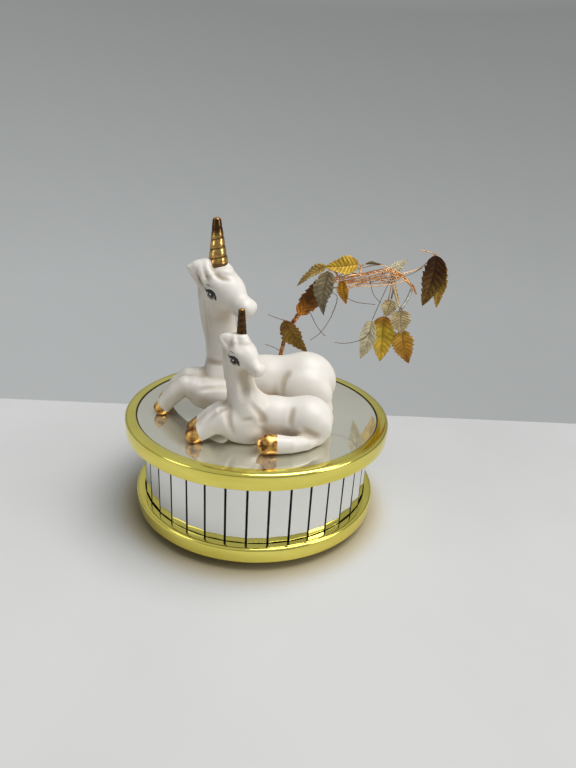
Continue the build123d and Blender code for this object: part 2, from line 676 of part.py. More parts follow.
# Torso sections: x share of length, then shares of height and length
# for the middle's height, the half height and the half width
TORSO_SHARES = [
    (-0.262, 0.150, 0.060, 0.055),
    (-0.240, 0.152, 0.120, 0.105),
    (-0.170, 0.150, 0.158, 0.145),
    (-0.060, 0.142, 0.152, 0.150),
    (0.080, 0.136, 0.148, 0.150),
    (0.220, 0.140, 0.160, 0.158),
    (0.330, 0.146, 0.170, 0.162),
    (0.420, 0.140, 0.146, 0.140),
    (0.480, 0.134, 0.096, 0.095),
    (0.507, 0.130, 0.045, 0.045),
]
# Limbs that both figures share: x and y shares of length, z share of height, radius share of length
NECK_SHARES = [
    (-0.110, 0.000, 0.195, 0.140),
    (-0.151, 0.000, 0.310, 0.108),
    (-0.178, 0.000, 0.414, 0.092),
    (-0.190, -0.007, 0.506, 0.088),
    (-0.198, -0.020, 0.610, 0.089),
]
THIGH_SHARES = [
    (0.200, -0.080, 0.115, 0.080),
    (0.310, -0.100, 0.125, 0.095),
    (0.400, -0.115, 0.090, 0.070),
    (0.425, -0.130, 0.055, 0.048),
]
TAIL_SHARES = [
    (0.451, 0.049, 0.138, 0.037),
    (0.457, 0.110, 0.080, 0.041),
    (0.415, 0.165, 0.051, 0.039),
    (0.329, 0.189, 0.039, 0.022),
]
MANE_SHARES = [
    (-0.256, 0.024, 0.700, 0.032),
    (-0.275, 0.037, 0.575, 0.037),
    (-0.262, 0.049, 0.460, 0.037),
    (-0.244, 0.061, 0.345, 0.032),
    (-0.207, 0.073, 0.276, 0.020),
]
# Limbs of each figure, in the same shares
MARE_LIMB_SHARES = {
    "head": [
        (-0.261, 0.000, 0.714, 0.046),
        (-0.205, -0.042, 0.664, 0.108),
        (-0.130, -0.094, 0.626, 0.092),
        (-0.055, -0.148, 0.602, 0.067),
        (0.008, -0.193, 0.570, 0.040),
    ],
    "near_ear": [
        (-0.232, -0.110, 0.750, 0.040),
        (-0.293, -0.118, 0.758, 0.049),
        (-0.344, -0.118, 0.758, 0.020),
    ],
    "far_ear": [
        (-0.171, 0.024, 0.728, 0.037),
        (-0.220, 0.073, 0.736, 0.041),
        (-0.256, 0.104, 0.736, 0.015),
    ],
    "near_arm": [
        (-0.146, -0.171, 0.092, 0.098),
        (-0.241, -0.195, 0.121, 0.085),
        (-0.298, -0.207, 0.152, 0.066),
        (-0.341, -0.213, 0.164, 0.055),
    ],
    "near_foreleg": [
        (-0.341, -0.213, 0.164, 0.054),
        (-0.393, -0.220, 0.124, 0.051),
        (-0.437, -0.223, 0.078, 0.046),
        (-0.471, -0.227, 0.037, 0.045),
    ],
    "far_arm": [
        (-0.146, -0.049, 0.103, 0.091),
        (-0.241, -0.073, 0.132, 0.080),
        (-0.298, -0.085, 0.163, 0.063),
        (-0.346, -0.095, 0.172, 0.054),
    ],
    "far_foreleg": [
        (-0.346, -0.095, 0.172, 0.053),
        (-0.400, -0.100, 0.131, 0.050),
        (-0.446, -0.102, 0.080, 0.045),
        (-0.471, -0.105, 0.037, 0.044),
    ],
    "shank": [
        (0.440, -0.140, 0.048, 0.050),
        (0.330, -0.175, 0.048, 0.048),
        (0.210, -0.190, 0.050, 0.050),
        (0.139, -0.195, 0.050, 0.055),
    ],
}
FOAL_LIMB_SHARES = {
    "head": [
        (-0.258, 0.046, 0.737, 0.045),
        (-0.205, 0.004, 0.674, 0.108),
        (-0.145, -0.044, 0.636, 0.090),
        (-0.090, -0.086, 0.604, 0.066),
        (-0.040, -0.119, 0.568, 0.038),
    ],
    "near_ear": [
        (-0.227, -0.059, 0.775, 0.037),
        (-0.277, -0.067, 0.792, 0.047),
        (-0.317, -0.067, 0.792, 0.022),
    ],
    "far_ear": [
        (-0.170, 0.060, 0.750, 0.033),
        (-0.205, 0.110, 0.758, 0.040),
        (-0.230, 0.145, 0.758, 0.015),
    ],
    "near_arm": [
        (-0.133, -0.100, 0.126, 0.117),
        (-0.225, -0.109, 0.171, 0.110),
        (-0.283, -0.119, 0.201, 0.097),
    ],
    "near_foreleg": [
        (-0.283, -0.119, 0.201, 0.096),
        (-0.342, -0.131, 0.183, 0.087),
        (-0.408, -0.147, 0.119, 0.077),
        (-0.473, -0.166, 0.058, 0.067),
    ],
    "far_arm": [
        (-0.133, 0.008, 0.144, 0.100),
        (-0.233, -0.009, 0.201, 0.093),
        (-0.300, -0.019, 0.227, 0.083),
    ],
    "far_foreleg": [
        (-0.300, -0.019, 0.227, 0.082),
        (-0.358, -0.032, 0.198, 0.077),
        (-0.425, -0.046, 0.126, 0.068),
        (-0.473, -0.056, 0.058, 0.063),
    ],
    "shank": [
        (0.383, -0.176, 0.068, 0.057),
        (0.250, -0.226, 0.070, 0.057),
        (0.133, -0.249, 0.074, 0.062),
        (0.043, -0.259, 0.079, 0.073),
    ],
}
# Horns from foot to tip
MARE_HORN_SHARES = [(-0.186, -0.055, 0.759), (-0.196, -0.055, 1.0)]
FOAL_HORN_SHARES = [(-0.172, -0.026, 0.802), (-0.178, -0.026, 1.0)]
END_BALL_SHARE = 0.97
SEAT_WIDTH_SHARE = 1.25


def limb(shares, length, height, side=1):
    """Swelling and tapering limb through round sections, closed by balls at its ends."""
    points = [Vector(x * length, side * y * length, z * height) for x, y, z, _ in shares]
    radii = [r * length for *_, r in shares]
    sections = []
    for i, (point, radius) in enumerate(zip(points, radii)):
        ahead = points[min(i + 1, len(points) - 1)] - points[max(i - 1, 0)]
        across = Vector(0, 1, 0).cross(ahead)
        sections.append(Plane(point, x_dir=across, z_dir=ahead) * Circle(radius))
    ends = [Pos(*points[i]) * Sphere(radii[i] * END_BALL_SHARE) for i in (0, -1)]
    return loft(sections).fuse(*ends)


def torso(rows, length, height, shrink=0):
    """Lying body through upright oval sections, smaller all round by shrink."""
    sections = []
    for x, z, half_height, half_width in rows:
        stand = Plane((x * length, 0, z * height), x_dir=(0, 1, 0), z_dir=(1, 0, 0))
        sections.append(stand * Ellipse(half_width * length - shrink, half_height * height - shrink))
    return loft(sections)


def horn_axis(shares, length, height):
    """Foot and tip of the horn in the figure's own frame."""
    return [Vector(x * length, y * length, z * height) for x, y, z in shares]


def unicorn(limb_shares, horn_shares, length, height, horn_length, horn_foot):
    """Slip-cast lying unicorn, hollow, with a vent in its flat base and a seat for its horn."""
    pieces = [limb(shares, length, height) for shares in limb_shares.values()]
    pieces += [limb(shares, length, height) for shares in (NECK_SHARES, MANE_SHARES, TAIL_SHARES)]
    pieces += [limb(THIGH_SHARES, length, height, side) for side in (1, -1)]
    body = torso(TORSO_SHARES, length, height).fuse(*pieces)
    floor = block((-length, length), (-length, length), (-height, 0))
    cavity = torso(TORSO_SHARES[1:-1], length, height, CAST_WALL)
    cavity -= block((-length, length), (-length, length), (-height, CAST_WALL))
    vent = rod(VENT_RADIUS, -CUT_OVERRUN, height * TORSO_SHARES[4][1])
    foot, tip = horn_axis(horn_shares, length, height)
    seat = Plane(foot, z_dir=tip - foot) * Cylinder(horn_foot * SEAT_WIDTH_SHARE, horn_length, align=BASE)
    return body - floor - cavity - vent - seat


def horn(horn_shares, length, height, horn_length, foot_radius, tip_radius):
    """Tapered horn with a round tip, standing on the seat in the head."""
    foot, tip = horn_axis(horn_shares, length, height)
    cone = Cone(foot_radius, tip_radius, horn_length, align=BASE)
    cone = fillet(cone.edges().group_by(Axis.Z)[-1], tip_radius * END_BALL_SHARE / 2)
    return Plane(foot, z_dir=tip - foot) * cone


def side_reach(shares):
    """Furthest that a limb reaches sideways, as a share of length."""
    return max(abs(y) + radius for _, y, _, radius in shares)


# The foal lies inside the mirror's front edge, the mare behind the foal, the tree behind the mare
FOAL_Y = FOAL_EDGE_GAP + side_reach(FOAL_LIMB_SHARES["shank"]) * FOAL_LENGTH - MIRROR_SHOWN_RADIUS
MARE_FRONT = side_reach(MARE_LIMB_SHARES["shank"]) * MARE_LENGTH
MARE_Y = FOAL_Y + side_reach(THIGH_SHARES) * FOAL_LENGTH + FIGURE_GAP + MARE_FRONT
TREE_Y = MARE_Y + max(half_width for *_, half_width in TORSO_SHARES) * MARE_LENGTH + TREE_GAP
MARE_AHEAD = max(radius - x for x, _, _, radius in MARE_LIMB_SHARES["near_foreleg"]) * MARE_LENGTH
MARE_X = MARE_AHEAD_SHARE * (MARE_AHEAD - MIRROR_SHOWN_RADIUS)
MARE_PLACE = Pos(MARE_X, MARE_Y, MIRROR_TOP)
FOAL_PLACE = Pos(FOAL_X, FOAL_Y, MIRROR_TOP)


def mare():
    return MARE_PLACE * unicorn(
        MARE_LIMB_SHARES, MARE_HORN_SHARES, MARE_LENGTH, MARE_HEIGHT, MARE_HORN_LENGTH, MARE_HORN_FOOT
    )


def mare_horn():
    return MARE_PLACE * horn(
        MARE_HORN_SHARES, MARE_LENGTH, MARE_HEIGHT, MARE_HORN_LENGTH, MARE_HORN_FOOT, MARE_HORN_TIP
    )


def foal():
    return FOAL_PLACE * unicorn(
        FOAL_LIMB_SHARES, FOAL_HORN_SHARES, FOAL_LENGTH, FOAL_HEIGHT, FOAL_HORN_LENGTH, FOAL_HORN_FOOT
    )


def foal_horn():
    return FOAL_PLACE * horn(
        FOAL_HORN_SHARES, FOAL_LENGTH, FOAL_HEIGHT, FOAL_HORN_LENGTH, FOAL_HORN_FOOT, FOAL_HORN_TIP
    )


# Wire tree

# Routes: x share of reach, y share of reach, z share of height, from the trunk's foot
TRUNK_SHARES = [
    (0.000, 0.00, 0.00),
    (0.000, 0.00, 0.22),
    (0.035, 0.00, 0.38),
    (0.125, 0.00, 0.54),
    (0.260, 0.00, 0.71),
]
BRANCH_SHARES = [
    (0.264, 0.00, 0.715),
    (0.370, 0.02, 0.77),
    (0.500, 0.00, 0.81),
    (0.650, -0.03, 0.85),
    (0.760, -0.02, 0.83),
    (0.860, 0.00, 0.76),
    (0.900, 0.01, 0.70),
]
# Twigs on the trunk and on the branch, each from its start to its end
TRUNK_TWIG_SHARES = [
    ((0.010, 0.00, 0.28), (-0.09, -0.03, 0.500), (0.006, -0.05, 0.487)),
    ((0.080, 0.00, 0.46), (0.105, -0.05, 0.520)),
]
BRANCH_TWIG_SHARES = [
    ((0.370, 0.02, 0.77), (0.275, -0.08, 0.835)),
    ((0.370, 0.02, 0.77), (0.275, 0.04, 0.850)),
    ((0.500, 0.00, 0.81), (0.495, 0.03, 0.875)),
    ((0.500, 0.00, 0.81), (0.385, -0.04, 0.780)),
    ((0.500, 0.00, 0.81), (0.527, 0.03, 0.877)),
    ((0.650, -0.03, 0.85), (0.673, 0.02, 0.845)),
    ((0.760, -0.02, 0.83), (0.87, -0.01, 1.000), (0.990, 0.00, 0.970)),
    ((0.760, -0.02, 0.83), (0.960, 0.02, 0.968), (1.020, 0.02, 0.948)),
    ((0.720, -0.02, 0.84), (0.724, -0.04, 0.670)),
    ((0.720, -0.02, 0.84), (0.693, -0.01, 0.548)),
    ((0.720, -0.02, 0.84), (0.612, -0.05, 0.523)),
    ((0.720, -0.02, 0.84), (0.818, -0.06, 0.471)),
    ((0.860, 0.00, 0.76), (0.790, -0.08, 0.613)),
]
# Leaves: place of the stalk, direction of the tip, side way, and scale share
GOLD_LEAF_SHARES = [
    ((0.006, -0.05, 0.487), (0.58, -0.05, -0.80), (0.75, -0.5, 0.4), 0.90),
    ((0.495, 0.03, 0.875), (-0.99, -0.07, -0.12), (0.05, -0.5, -0.86), 0.75),
    ((0.693, -0.01, 0.548), (0.06, -0.08, -0.99), (1.0, -0.1, 0.1), 1.05),
    ((0.818, -0.06, 0.471), (0.28, -0.03, -0.96), (0.9, -0.2, 0.4), 0.82),
    ((0.275, 0.04, 0.850), (-0.82, 0.1, -0.56), (0.3, -0.8, -0.5), 0.78),
    ((1.020, 0.02, 0.948), (0.10, 0.0, -0.99), (0.95, -0.1, 0.1), 1.10),
]
COPPER_LEAF_SHARES = [
    ((0.105, -0.05, 0.520), (0.49, 0.07, 0.87), (0.9, -0.1, -0.3), 1.12),
    ((0.385, -0.04, 0.780), (0.19, -0.09, -0.98), (0.8, -0.5, 0.2), 0.52),
    ((0.990, 0.00, 0.970), (-0.13, -0.08, -0.99), (0.95, 0.1, 0.2), 1.10),
]
SILVER_LEAF_SHARES = [
    ((0.275, -0.08, 0.835), (-0.12, -0.12, -0.99), (0.9, -0.4, 0.1), 0.93),
    ((0.612, -0.05, 0.523), (-0.20, -0.05, -0.97), (0.9, -0.5, 0.0), 0.92),
    ((0.790, -0.08, 0.613), (0.15, -0.05, -0.99), (0.95, -0.25, 0.1), 0.60),
    ((0.673, 0.02, 0.845), (0.88, 0.0, 0.48), (0.2, -0.9, 0.1), 0.52),
    ((0.724, -0.04, 0.670), (-0.20, -0.12, -0.97), (0.95, -0.2, -0.2), 0.45),
    ((0.527, 0.03, 0.877), (0.99, 0.0, 0.12), (0.0, 0.94, -0.34), 0.40),
]
# Half outline of a leaf: length share, half width share
LEAF_OUTLINE_SHARES = [(0.0, 0.12), (0.12, 0.72), (0.35, 1.0), (0.62, 0.78), (0.85, 0.34), (1.0, 0.0)]
BEND_SHARE = 0.45


def tree_point(shares):
    x, y, z = shares
    return Vector(TREE_X + x * TREE_REACH, TREE_Y + y * TREE_REACH, MIRROR_TOP + z * TREE_HEIGHT)


def wire(points, radius):
    """Round wire along straight runs joined by tangent arcs as large as the runs allow."""
    bends = []
    for before, here, after in zip(points, points[1:], points[2:]):
        turn = math.radians((here - before).get_angle(after - here))
        shorter = min((here - before).length, (after - here).length)
        bends.append(BEND_SHARE * shorter / math.tan(turn / 2))
    path = FilletPolyline(*points, radius=bends) if bends else Line(*points)
    section = Plane(path @ 0, z_dir=path % 0) * Circle(radius)
    return sweep(section, path)


def twigs(table):
    """Thin wires, each through its own row of places."""
    return [wire([tree_point(place) for place in row], TWIG_RADIUS) for row in table]


def tree_trunk():
    """Trunk from under the board, through the mirror, up to the fork."""
    foot = Vector(TREE_X, TREE_Y, SHELL_TOP + FIT)
    lower = rod(TRUNK_RADIUS, foot.Z, tree_point(TRUNK_SHARES[1]).Z, TREE_X, TREE_Y)
    upper = wire([tree_point(s) for s in TRUNK_SHARES[1:]], TRUNK_RADIUS)
    return lower.fuse(upper, *twigs(TRUNK_TWIG_SHARES))


def tree_branches():
    """Branch wire and the twigs that are twisted onto it."""
    branch = wire([tree_point(s) for s in BRANCH_SHARES], BRANCH_RADIUS)
    return branch.fuse(*twigs(BRANCH_TWIG_SHARES))


def leaf(place, direction, side, scale):
    """Flat pointed leaf from its stalk to its tip."""
    length, half = LEAF_LENGTH * scale, LEAF_WIDTH * scale / 2
    right = [(a * length, b * half) for a, b in LEAF_OUTLINE_SHARES]
    left = [(x, -y) for x, y in reversed(right[:-1])]
    edge = Polyline(*right, *left, close=True)
    plate = extrude(make_face(edge), LEAF_THICKNESS / 2, both=True)
    along = Vector(*direction).normalized()
    normal = along.cross(Vector(*side))
    stalk = tree_point(place) + along * (TWIG_RADIUS + FIT)
    return Plane(stalk, x_dir=along, z_dir=normal) * plate


def leaves(table):
    return Compound([leaf(*row) for row in table])


NODES = {
    "felt_pad": felt_pad,
    "foot_plate": foot_plate,
    "stem_nut": stem_nut,
    "winding_stem": winding_stem,
    "thrust_washer": thrust_washer,
    "stem_clip": stem_clip,
    "main_gear": main_gear,
    "bottom_plate": bottom_plate,
    "bottom_screws": bottom_screws,
    "drum_shell": drum_shell,
    "mirror_strips": mirror_strips,
    "lower_rim": lower_rim,
    "upper_rim": upper_rim,
    "top_board": top_board,
    "top_mirror": top_mirror,
    "bedplate": bedplate,
    "movement_screws": movement_screws,
    "spring_housing": spring_housing,
    "spring_cover": spring_cover,
    "mainspring": mainspring,
    "tune_cylinder": tune_cylinder,
    "cylinder_shaft": cylinder_shaft,
    "cylinder_pinion": cylinder_pinion,
    "cylinder_gear": cylinder_gear,
    "inner_bearing": lambda: bearing(INNER_BEARING_X),
    "outer_bearing": lambda: bearing(OUTER_BEARING_X),
    "comb_seat": comb_seat,
    "comb": comb,
    "comb_screws": comb_screws,
    "governor_frame": governor_frame,
    "governor_axle": governor_axle,
    "governor_pinion": governor_pinion,
    "worm_wheel": worm_wheel,
    "governor_worm": governor_worm,
    "fan_blade": fan_blade,
    "mare": mare,
    "mare_horn": mare_horn,
    "foal": foal,
    "foal_horn": foal_horn,
    "tree_trunk": tree_trunk,
    "tree_branches": tree_branches,
    "gold_leaves": lambda: leaves(GOLD_LEAF_SHARES),
    "copper_leaves": lambda: leaves(COPPER_LEAF_SHARES),
    "silver_leaves": lambda: leaves(SILVER_LEAF_SHARES),
}

os.makedirs("parts", exist_ok=True)
for name, make in NODES.items():
    export_step(make(), f"parts/{name}.step")
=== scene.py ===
"""Looks of the revolving unicorn ornament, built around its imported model."""

from math import cos, exp, pi, radians, sin, sqrt, tan

import bpy
import numpy as np
from mathutils import Matrix, Vector
from mathutils.bvhtree import BVHTree
from numpy.linalg import norm


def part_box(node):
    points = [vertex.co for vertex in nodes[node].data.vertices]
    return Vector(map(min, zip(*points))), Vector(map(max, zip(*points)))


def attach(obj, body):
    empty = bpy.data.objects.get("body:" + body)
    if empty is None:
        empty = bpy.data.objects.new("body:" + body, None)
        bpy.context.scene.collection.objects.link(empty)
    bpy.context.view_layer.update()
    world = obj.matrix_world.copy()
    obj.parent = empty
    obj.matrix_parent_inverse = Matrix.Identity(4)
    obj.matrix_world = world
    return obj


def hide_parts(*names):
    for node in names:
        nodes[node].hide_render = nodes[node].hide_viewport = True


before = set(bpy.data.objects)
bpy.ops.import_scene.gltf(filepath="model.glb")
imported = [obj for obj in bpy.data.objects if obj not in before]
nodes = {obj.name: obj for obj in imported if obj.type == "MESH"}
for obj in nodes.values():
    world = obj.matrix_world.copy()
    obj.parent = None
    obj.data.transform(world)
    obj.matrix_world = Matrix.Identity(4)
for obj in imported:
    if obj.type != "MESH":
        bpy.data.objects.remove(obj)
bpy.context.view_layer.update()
scene = bpy.context.scene
MM = 0.001
TURN = 2 * pi
MIRROR_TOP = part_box("top_mirror")[1].z / MM
ON_MIRROR = np.array([0, 0, MIRROR_TOP])
NOISE_ROUGHNESS = 0.55


# Materials

class Nodes:
    """Node tree with short ways to fill it."""

    def __init__(self, tree):
        self.tree = tree

    def feed(self, socket, value):
        """Links an input to a socket, or gives it a value."""
        if isinstance(value, bpy.types.NodeSocket):
            self.tree.links.new(value, socket)
        else:
            socket.default_value = value

    def node(self, kind, inputs=None, **values):
        made = self.tree.nodes.new("ShaderNode" + kind)
        for key, value in values.items():
            setattr(made, key, value)
        for key, value in (inputs or {}).items():
            self.feed(made.inputs[key], value)
        return made

    def ramp(self, fac, stops):
        made = self.node("ValToRGB", {"Fac": fac})
        elements = made.color_ramp.elements
        while len(elements) < len(stops):
            elements.new(0.5)
        for element, (at, colour) in zip(elements, stops):
            element.position = at
            element.color = (*colour, 1)
        return made.outputs["Color"]

    def mix(self, fac, a, b, kind="MIX"):
        inputs = {0: fac, 6: a, 7: (*b, 1) if isinstance(b, tuple) else b}
        return self.node("Mix", inputs, data_type="RGBA", blend_type=kind).outputs[2]

    def span(self, fac, **ends):
        """Map range whose ends are given by name, such as To_Min."""
        inputs = {key.replace("_", " "): value for key, value in ends.items()}
        return self.node("MapRange", {"Value": fac, **inputs}).outputs["Result"]

    def split(self, vector):
        return self.node("SeparateXYZ", {"Vector": vector}).outputs


class Paint(Nodes):
    """One node material, built around a Principled shader."""

    def __init__(self, name, base, rough, metal=0.0, **sockets):
        self.mat = bpy.data.materials.new(name)
        self.mat.use_nodes = True
        super().__init__(self.mat.node_tree)
        self.shader = self.tree.nodes["Principled BSDF"]
        self.put(Base_Color=(*base, 1), Roughness=rough, Metallic=metal, **sockets)
        self.place = self.node("TexCoord").outputs["Object"]

    def put(self, **sockets):
        """Feeds the shader's inputs by name."""
        for key, value in sockets.items():
            self.feed(self.shader.inputs[key.replace("_", " ")], value)

    def noise(self, scale, detail=3.0, stretch=(1, 1, 1)):
        mapping = self.node("Mapping", {"Scale": stretch, "Vector": self.place})
        place = mapping.outputs["Vector"]
        inputs = {"Scale": scale, "Detail": detail, "Roughness": NOISE_ROUGHNESS, "Vector": place}
        return self.node("TexNoise", inputs).outputs["Fac"]

    def attribute(self, name):
        return self.node("Attribute", attribute_name=name).outputs["Fac"]

    def rough(self, fac, low, high):
        self.put(Roughness=self.span(fac, To_Min=low, To_Max=high))

    def bump(self, fac, distance):
        made = self.node("Bump", {"Distance": distance, "Strength": 1.0, "Height": fac})
        self.put(Normal=made.outputs["Normal"])


def metal_paint(name, dark, light, rough, scale, bump=0.0, stretch=(1, 1, 1), metal=1.0):
    """Metal whose colour and polish vary gently over the surface."""
    paint = Paint(name, light, rough, metal)
    cloud = paint.noise(scale, 4.0, stretch)
    paint.put(Base_Color=paint.ramp(cloud, [(0.3, dark), (0.7, light)]))
    paint.rough(paint.noise(scale * 3, 3.0, stretch), rough * 0.7, rough * 1.4)
    if bump:
        paint.bump(paint.noise(scale * 6, 3.0, stretch), bump)
    return paint.mat


def grained(name, dark, light, rough, scale, bump):
    """Plain material with an even grain."""
    paint = Paint(name, light, rough)
    grain = paint.noise(scale, 5.0)
    paint.put(Base_Color=paint.ramp(grain, [(0.3, dark), (0.7, light)]))
    paint.rough(paint.noise(scale * 2), rough * 0.85, min(1.0, rough * 1.15))
    paint.bump(grain, bump)
    return paint.mat


def glaze():
    """Clear glaze over white porcelain with painted shade, warm and darker, in its creases and under
    overhangs, and with gilded hooves and a bare foot.
    """
    hollow_shade_colour = (0.43, 0.315, 0.17)
    bare = (0.55, 0.42, 0.22)
    paint = Paint(
        "porcelain_glaze", (0.76, 0.725, 0.665), 0.34, Coat_Weight=0.08, Coat_Roughness=0.22,
        Subsurface_Weight=0.06, Subsurface_Radius=(0.002, 0.0016, 0.0012), Subsurface_Scale=1.0,
    )
    body = paint.ramp(paint.noise(90), [(0.3, (0.75, 0.705, 0.64)), (0.7, (0.82, 0.785, 0.725))])
    # Painted shade: the glaze turns a darker warm tan in creases and under overhangs
    body = paint.mix(paint.attribute("hollow_shade"), body, hollow_shade_colour)
    body = paint.mix(paint.attribute("foot"), body, bare)
    gilt = paint.attribute("gilt")
    gold = paint.ramp(paint.noise(300, 4.0), [(0.38, (0.2, 0.075, 0.02)), (0.58, (0.9, 0.54, 0.16))])
    paint.put(Base_Color=paint.mix(gilt, body, gold), Metallic=gilt)
    paint.rough(paint.noise(240), 0.33, 0.46)
    paint.bump(paint.noise(130, 2.0), 0.00006)
    return paint.mat


def lustre():
    """Fired gold lustre with painted shade in its grooves, darker in bands given from foot to tip."""
    dark_lustre = (0.06, 0.025, 0.012)
    groove_shade_colour = (0.05, 0.018, 0.008)
    paint = Paint("gold_lustre", (0.7, 0.4, 0.1), 0.16, 1.0)
    gold = paint.ramp(paint.noise(520, 4.0), [(0.35, (0.66, 0.33, 0.09)), (0.66, (0.98, 0.72, 0.24))])
    gold = paint.mix(paint.attribute("shade"), gold, dark_lustre)
    # Painted shade: the lustre darkens in the horn's spiral groove
    paint.put(Base_Color=paint.mix(paint.attribute("hollow_shade"), gold, groove_shade_colour))
    paint.rough(paint.noise(300), 0.12, 0.26)
    paint.bump(paint.noise(650), 0.00012)
    return paint.mat


def leaf_paint(name, stalk, middle, tip, rough=0.36):
    """Embossed foil, dulled by age, that changes colour from its stalk to its tip; its colours are lifted
    above the foil's own to stand in for its sheen, a painted sheen.
    """
    vein = tuple(c * 0.35 for c in middle)
    paint = Paint(name, middle, rough, 0.15, Specular_IOR_Level=0.2)
    along = paint.ramp(paint.attribute("along"), [(0.06, stalk), (0.3, middle), (1.0, tip)])
    tarnish = paint.ramp(paint.noise(260, 4.0), [(0.35, (0.45, 0.42, 0.36)), (0.65, (1.0, 1.0, 1.0))])
    toned = paint.mix(0.75, along, tarnish, "MULTIPLY")
    paint.put(Base_Color=paint.mix(paint.attribute("vein"), toned, vein))
    paint.rough(paint.noise(420), rough * 0.7, rough * 1.5)
    paint.bump(paint.noise(900), 0.00008)
    return paint.mat


GILT = metal_paint("gilt_rim", (0.74, 0.63, 0.11), (0.92, 0.82, 0.2), 0.13, 24, 0.00001, (1, 1, 6))
MIRROR = metal_paint("mirror_glass", (0.74, 0.74, 0.71), (0.84, 0.84, 0.81), 0.025, 18)
TOP_GLASS = metal_paint("top_mirror_glass", (0.7, 0.68, 0.57), (0.78, 0.76, 0.65), 0.06, 14, metal=0.8)
SEAM = metal_paint("dark_seam", (0.03, 0.03, 0.032), (0.08, 0.08, 0.08), 0.5, 60)
STEEL = metal_paint("turned_steel", (0.42, 0.42, 0.43), (0.66, 0.66, 0.67), 0.26, 90, 0.00001)
BRASS = metal_paint("stamped_brass", (0.58, 0.4, 0.13), (0.8, 0.61, 0.25), 0.24, 80, 0.00001)
COPPER = metal_paint("copper_wire", (0.58, 0.26, 0.09), (0.92, 0.57, 0.28), 0.22, 320, 0.00004)
TRUNK_WIRE = metal_paint("trunk_wire", (0.19, 0.065, 0.024), (0.82, 0.4, 0.14), 0.24, 420, 0.00004)
DARK_WIRE = metal_paint("tarnished_wire", (0.1, 0.07, 0.05), (0.3, 0.22, 0.16), 0.3, 300, 0.00003)
LEAF_WIRE = metal_paint("wrapped_wire", (0.2, 0.19, 0.16), (0.42, 0.41, 0.36), 0.4, 300, 0.00005)
CREAM_WIRE = metal_paint("gilt_wire", (0.5, 0.36, 0.16), (0.78, 0.66, 0.4), 0.35, 300, 0.00005)
GLAZE = glaze()
LUSTRE = lustre()
BLACK = grained("moulded_black", (0.012, 0.012, 0.012), (0.035, 0.034, 0.032), 0.5, 900, 0.00004)
FELT = grained("pressed_felt", (0.02, 0.025, 0.02), (0.06, 0.07, 0.06), 0.95, 1400, 0.00015)
NYLON = grained("moulded_nylon", (0.7, 0.69, 0.64), (0.82, 0.81, 0.77), 0.45, 500, 0.00003)
BOARD = grained("fibre_board", (0.2, 0.13, 0.07), (0.36, 0.25, 0.15), 0.85, 500, 0.0001)
CAST = grained("die_cast", (0.22, 0.22, 0.23), (0.36, 0.36, 0.37), 0.45, 400, 0.00005)
INK = grained("painted_ink", (0.004, 0.003, 0.003), (0.02, 0.014, 0.012), 0.22, 700, 0.00001)
IRIS = grained("painted_iris", (0.035, 0.03, 0.028), (0.1, 0.085, 0.075), 0.2, 900, 0.00001)
WHITE = grained("painted_white", (0.6, 0.56, 0.49), (0.7, 0.66, 0.6), 0.2, 700, 0.00001)
GLINT = grained("painted_glint", (0.86, 0.86, 0.85), (0.92, 0.92, 0.91), 0.15, 700, 0.00001)
LID = grained("painted_lid", (0.16, 0.13, 0.11), (0.34, 0.29, 0.25), 0.25, 900, 0.00001)

for material, names in (
    (FELT, "felt_pad"),
    (BLACK, "foot_plate bottom_plate drum_shell"),
    (NYLON, "thrust_washer"),
    (STEEL, "stem_nut winding_stem stem_clip bottom_screws movement_screws mainspring spring_housing"),
    (STEEL, "spring_cover cylinder_shaft comb comb_screws governor_axle governor_worm"),
    (BRASS, "main_gear tune_cylinder cylinder_pinion cylinder_gear governor_pinion worm_wheel"),
    (BRASS, "inner_bearing outer_bearing governor_frame fan_blade"),
    (CAST, "bedplate comb_seat"),
    (BOARD, "top_board"),
    (TOP_GLASS, "top_mirror"),
):
    for name in names.split():
        data = nodes[name].data
        data.materials.clear()
        data.materials.append(material)


# Pieces

def add_object(name, verts, faces, materials, smooth=True):
    """Mesh object from points in metres."""
    mesh = bpy.data.meshes.new(name)
    mesh.from_pydata(verts, [], faces)
    mesh.polygons.foreach_set("use_smooth", np.full(len(faces), smooth))
    for material in materials:
        mesh.materials.append(material)
    obj = bpy.data.objects.new(name, mesh)
    scene.collection.objects.link(obj)
    return obj


def add_piece(
    name, verts, faces, materials, node=None, slot=None, marks=None, face_marks=None, smooth=True,
):
    """Mesh piece from millimetre points that rides on the drum and may replace a node."""
    points = (np.asarray(verts, float) * MM).tolist()
    obj = add_object(name, points, [list(map(int, f)) for f in faces], materials, smooth)
    mesh = obj.data
    if face_marks is not None:
        mesh.polygons.foreach_set("material_index", np.asarray(face_marks, np.int32))
    for key, values in (marks or {}).items():
        layer = mesh.attributes.new(key, "FLOAT", "POINT")
        layer.data.foreach_set("value", np.asarray(values, np.float32))
    mesh.validate()
    mesh.update()
    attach(obj, "drum")
    if node:
        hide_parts(node)
    return obj


def lathe(profile, segments):
    """Closed ring swept round Z from (radius, height) points."""
    turn = np.linspace(0, TURN, segments, endpoint=False)
    radius, height = np.asarray(profile, float).T
    count = len(radius)
    x = np.outer(np.cos(turn), radius)
    y = np.outer(np.sin(turn), radius)
    verts = np.stack([x, y, np.tile(height, (segments, 1))], -1).reshape(-1, 3)
    faces = []
    for i in range(segments):
        a = i * count
        b = (i + 1) % segments * count
        for k in range(count):
            m = (k + 1) % count
            faces.append((a + k, b + k, b + m, a + m))
    return verts, faces


def sleeve(rows, columns, start=0):
    """Faces of a tube whose points are laid ring by ring, and a cap on each end."""
    faces = []
    for a in range(start, start + rows * columns, columns):
        b = a + columns
        for k in range(columns):
            m = (k + 1) % columns
            faces.append((a + k, a + m, b + m, b + k))
    faces.append(tuple(start + k for k in reversed(range(columns))))
    faces.append(tuple(start + rows * columns + k for k in range(columns)))
    return faces


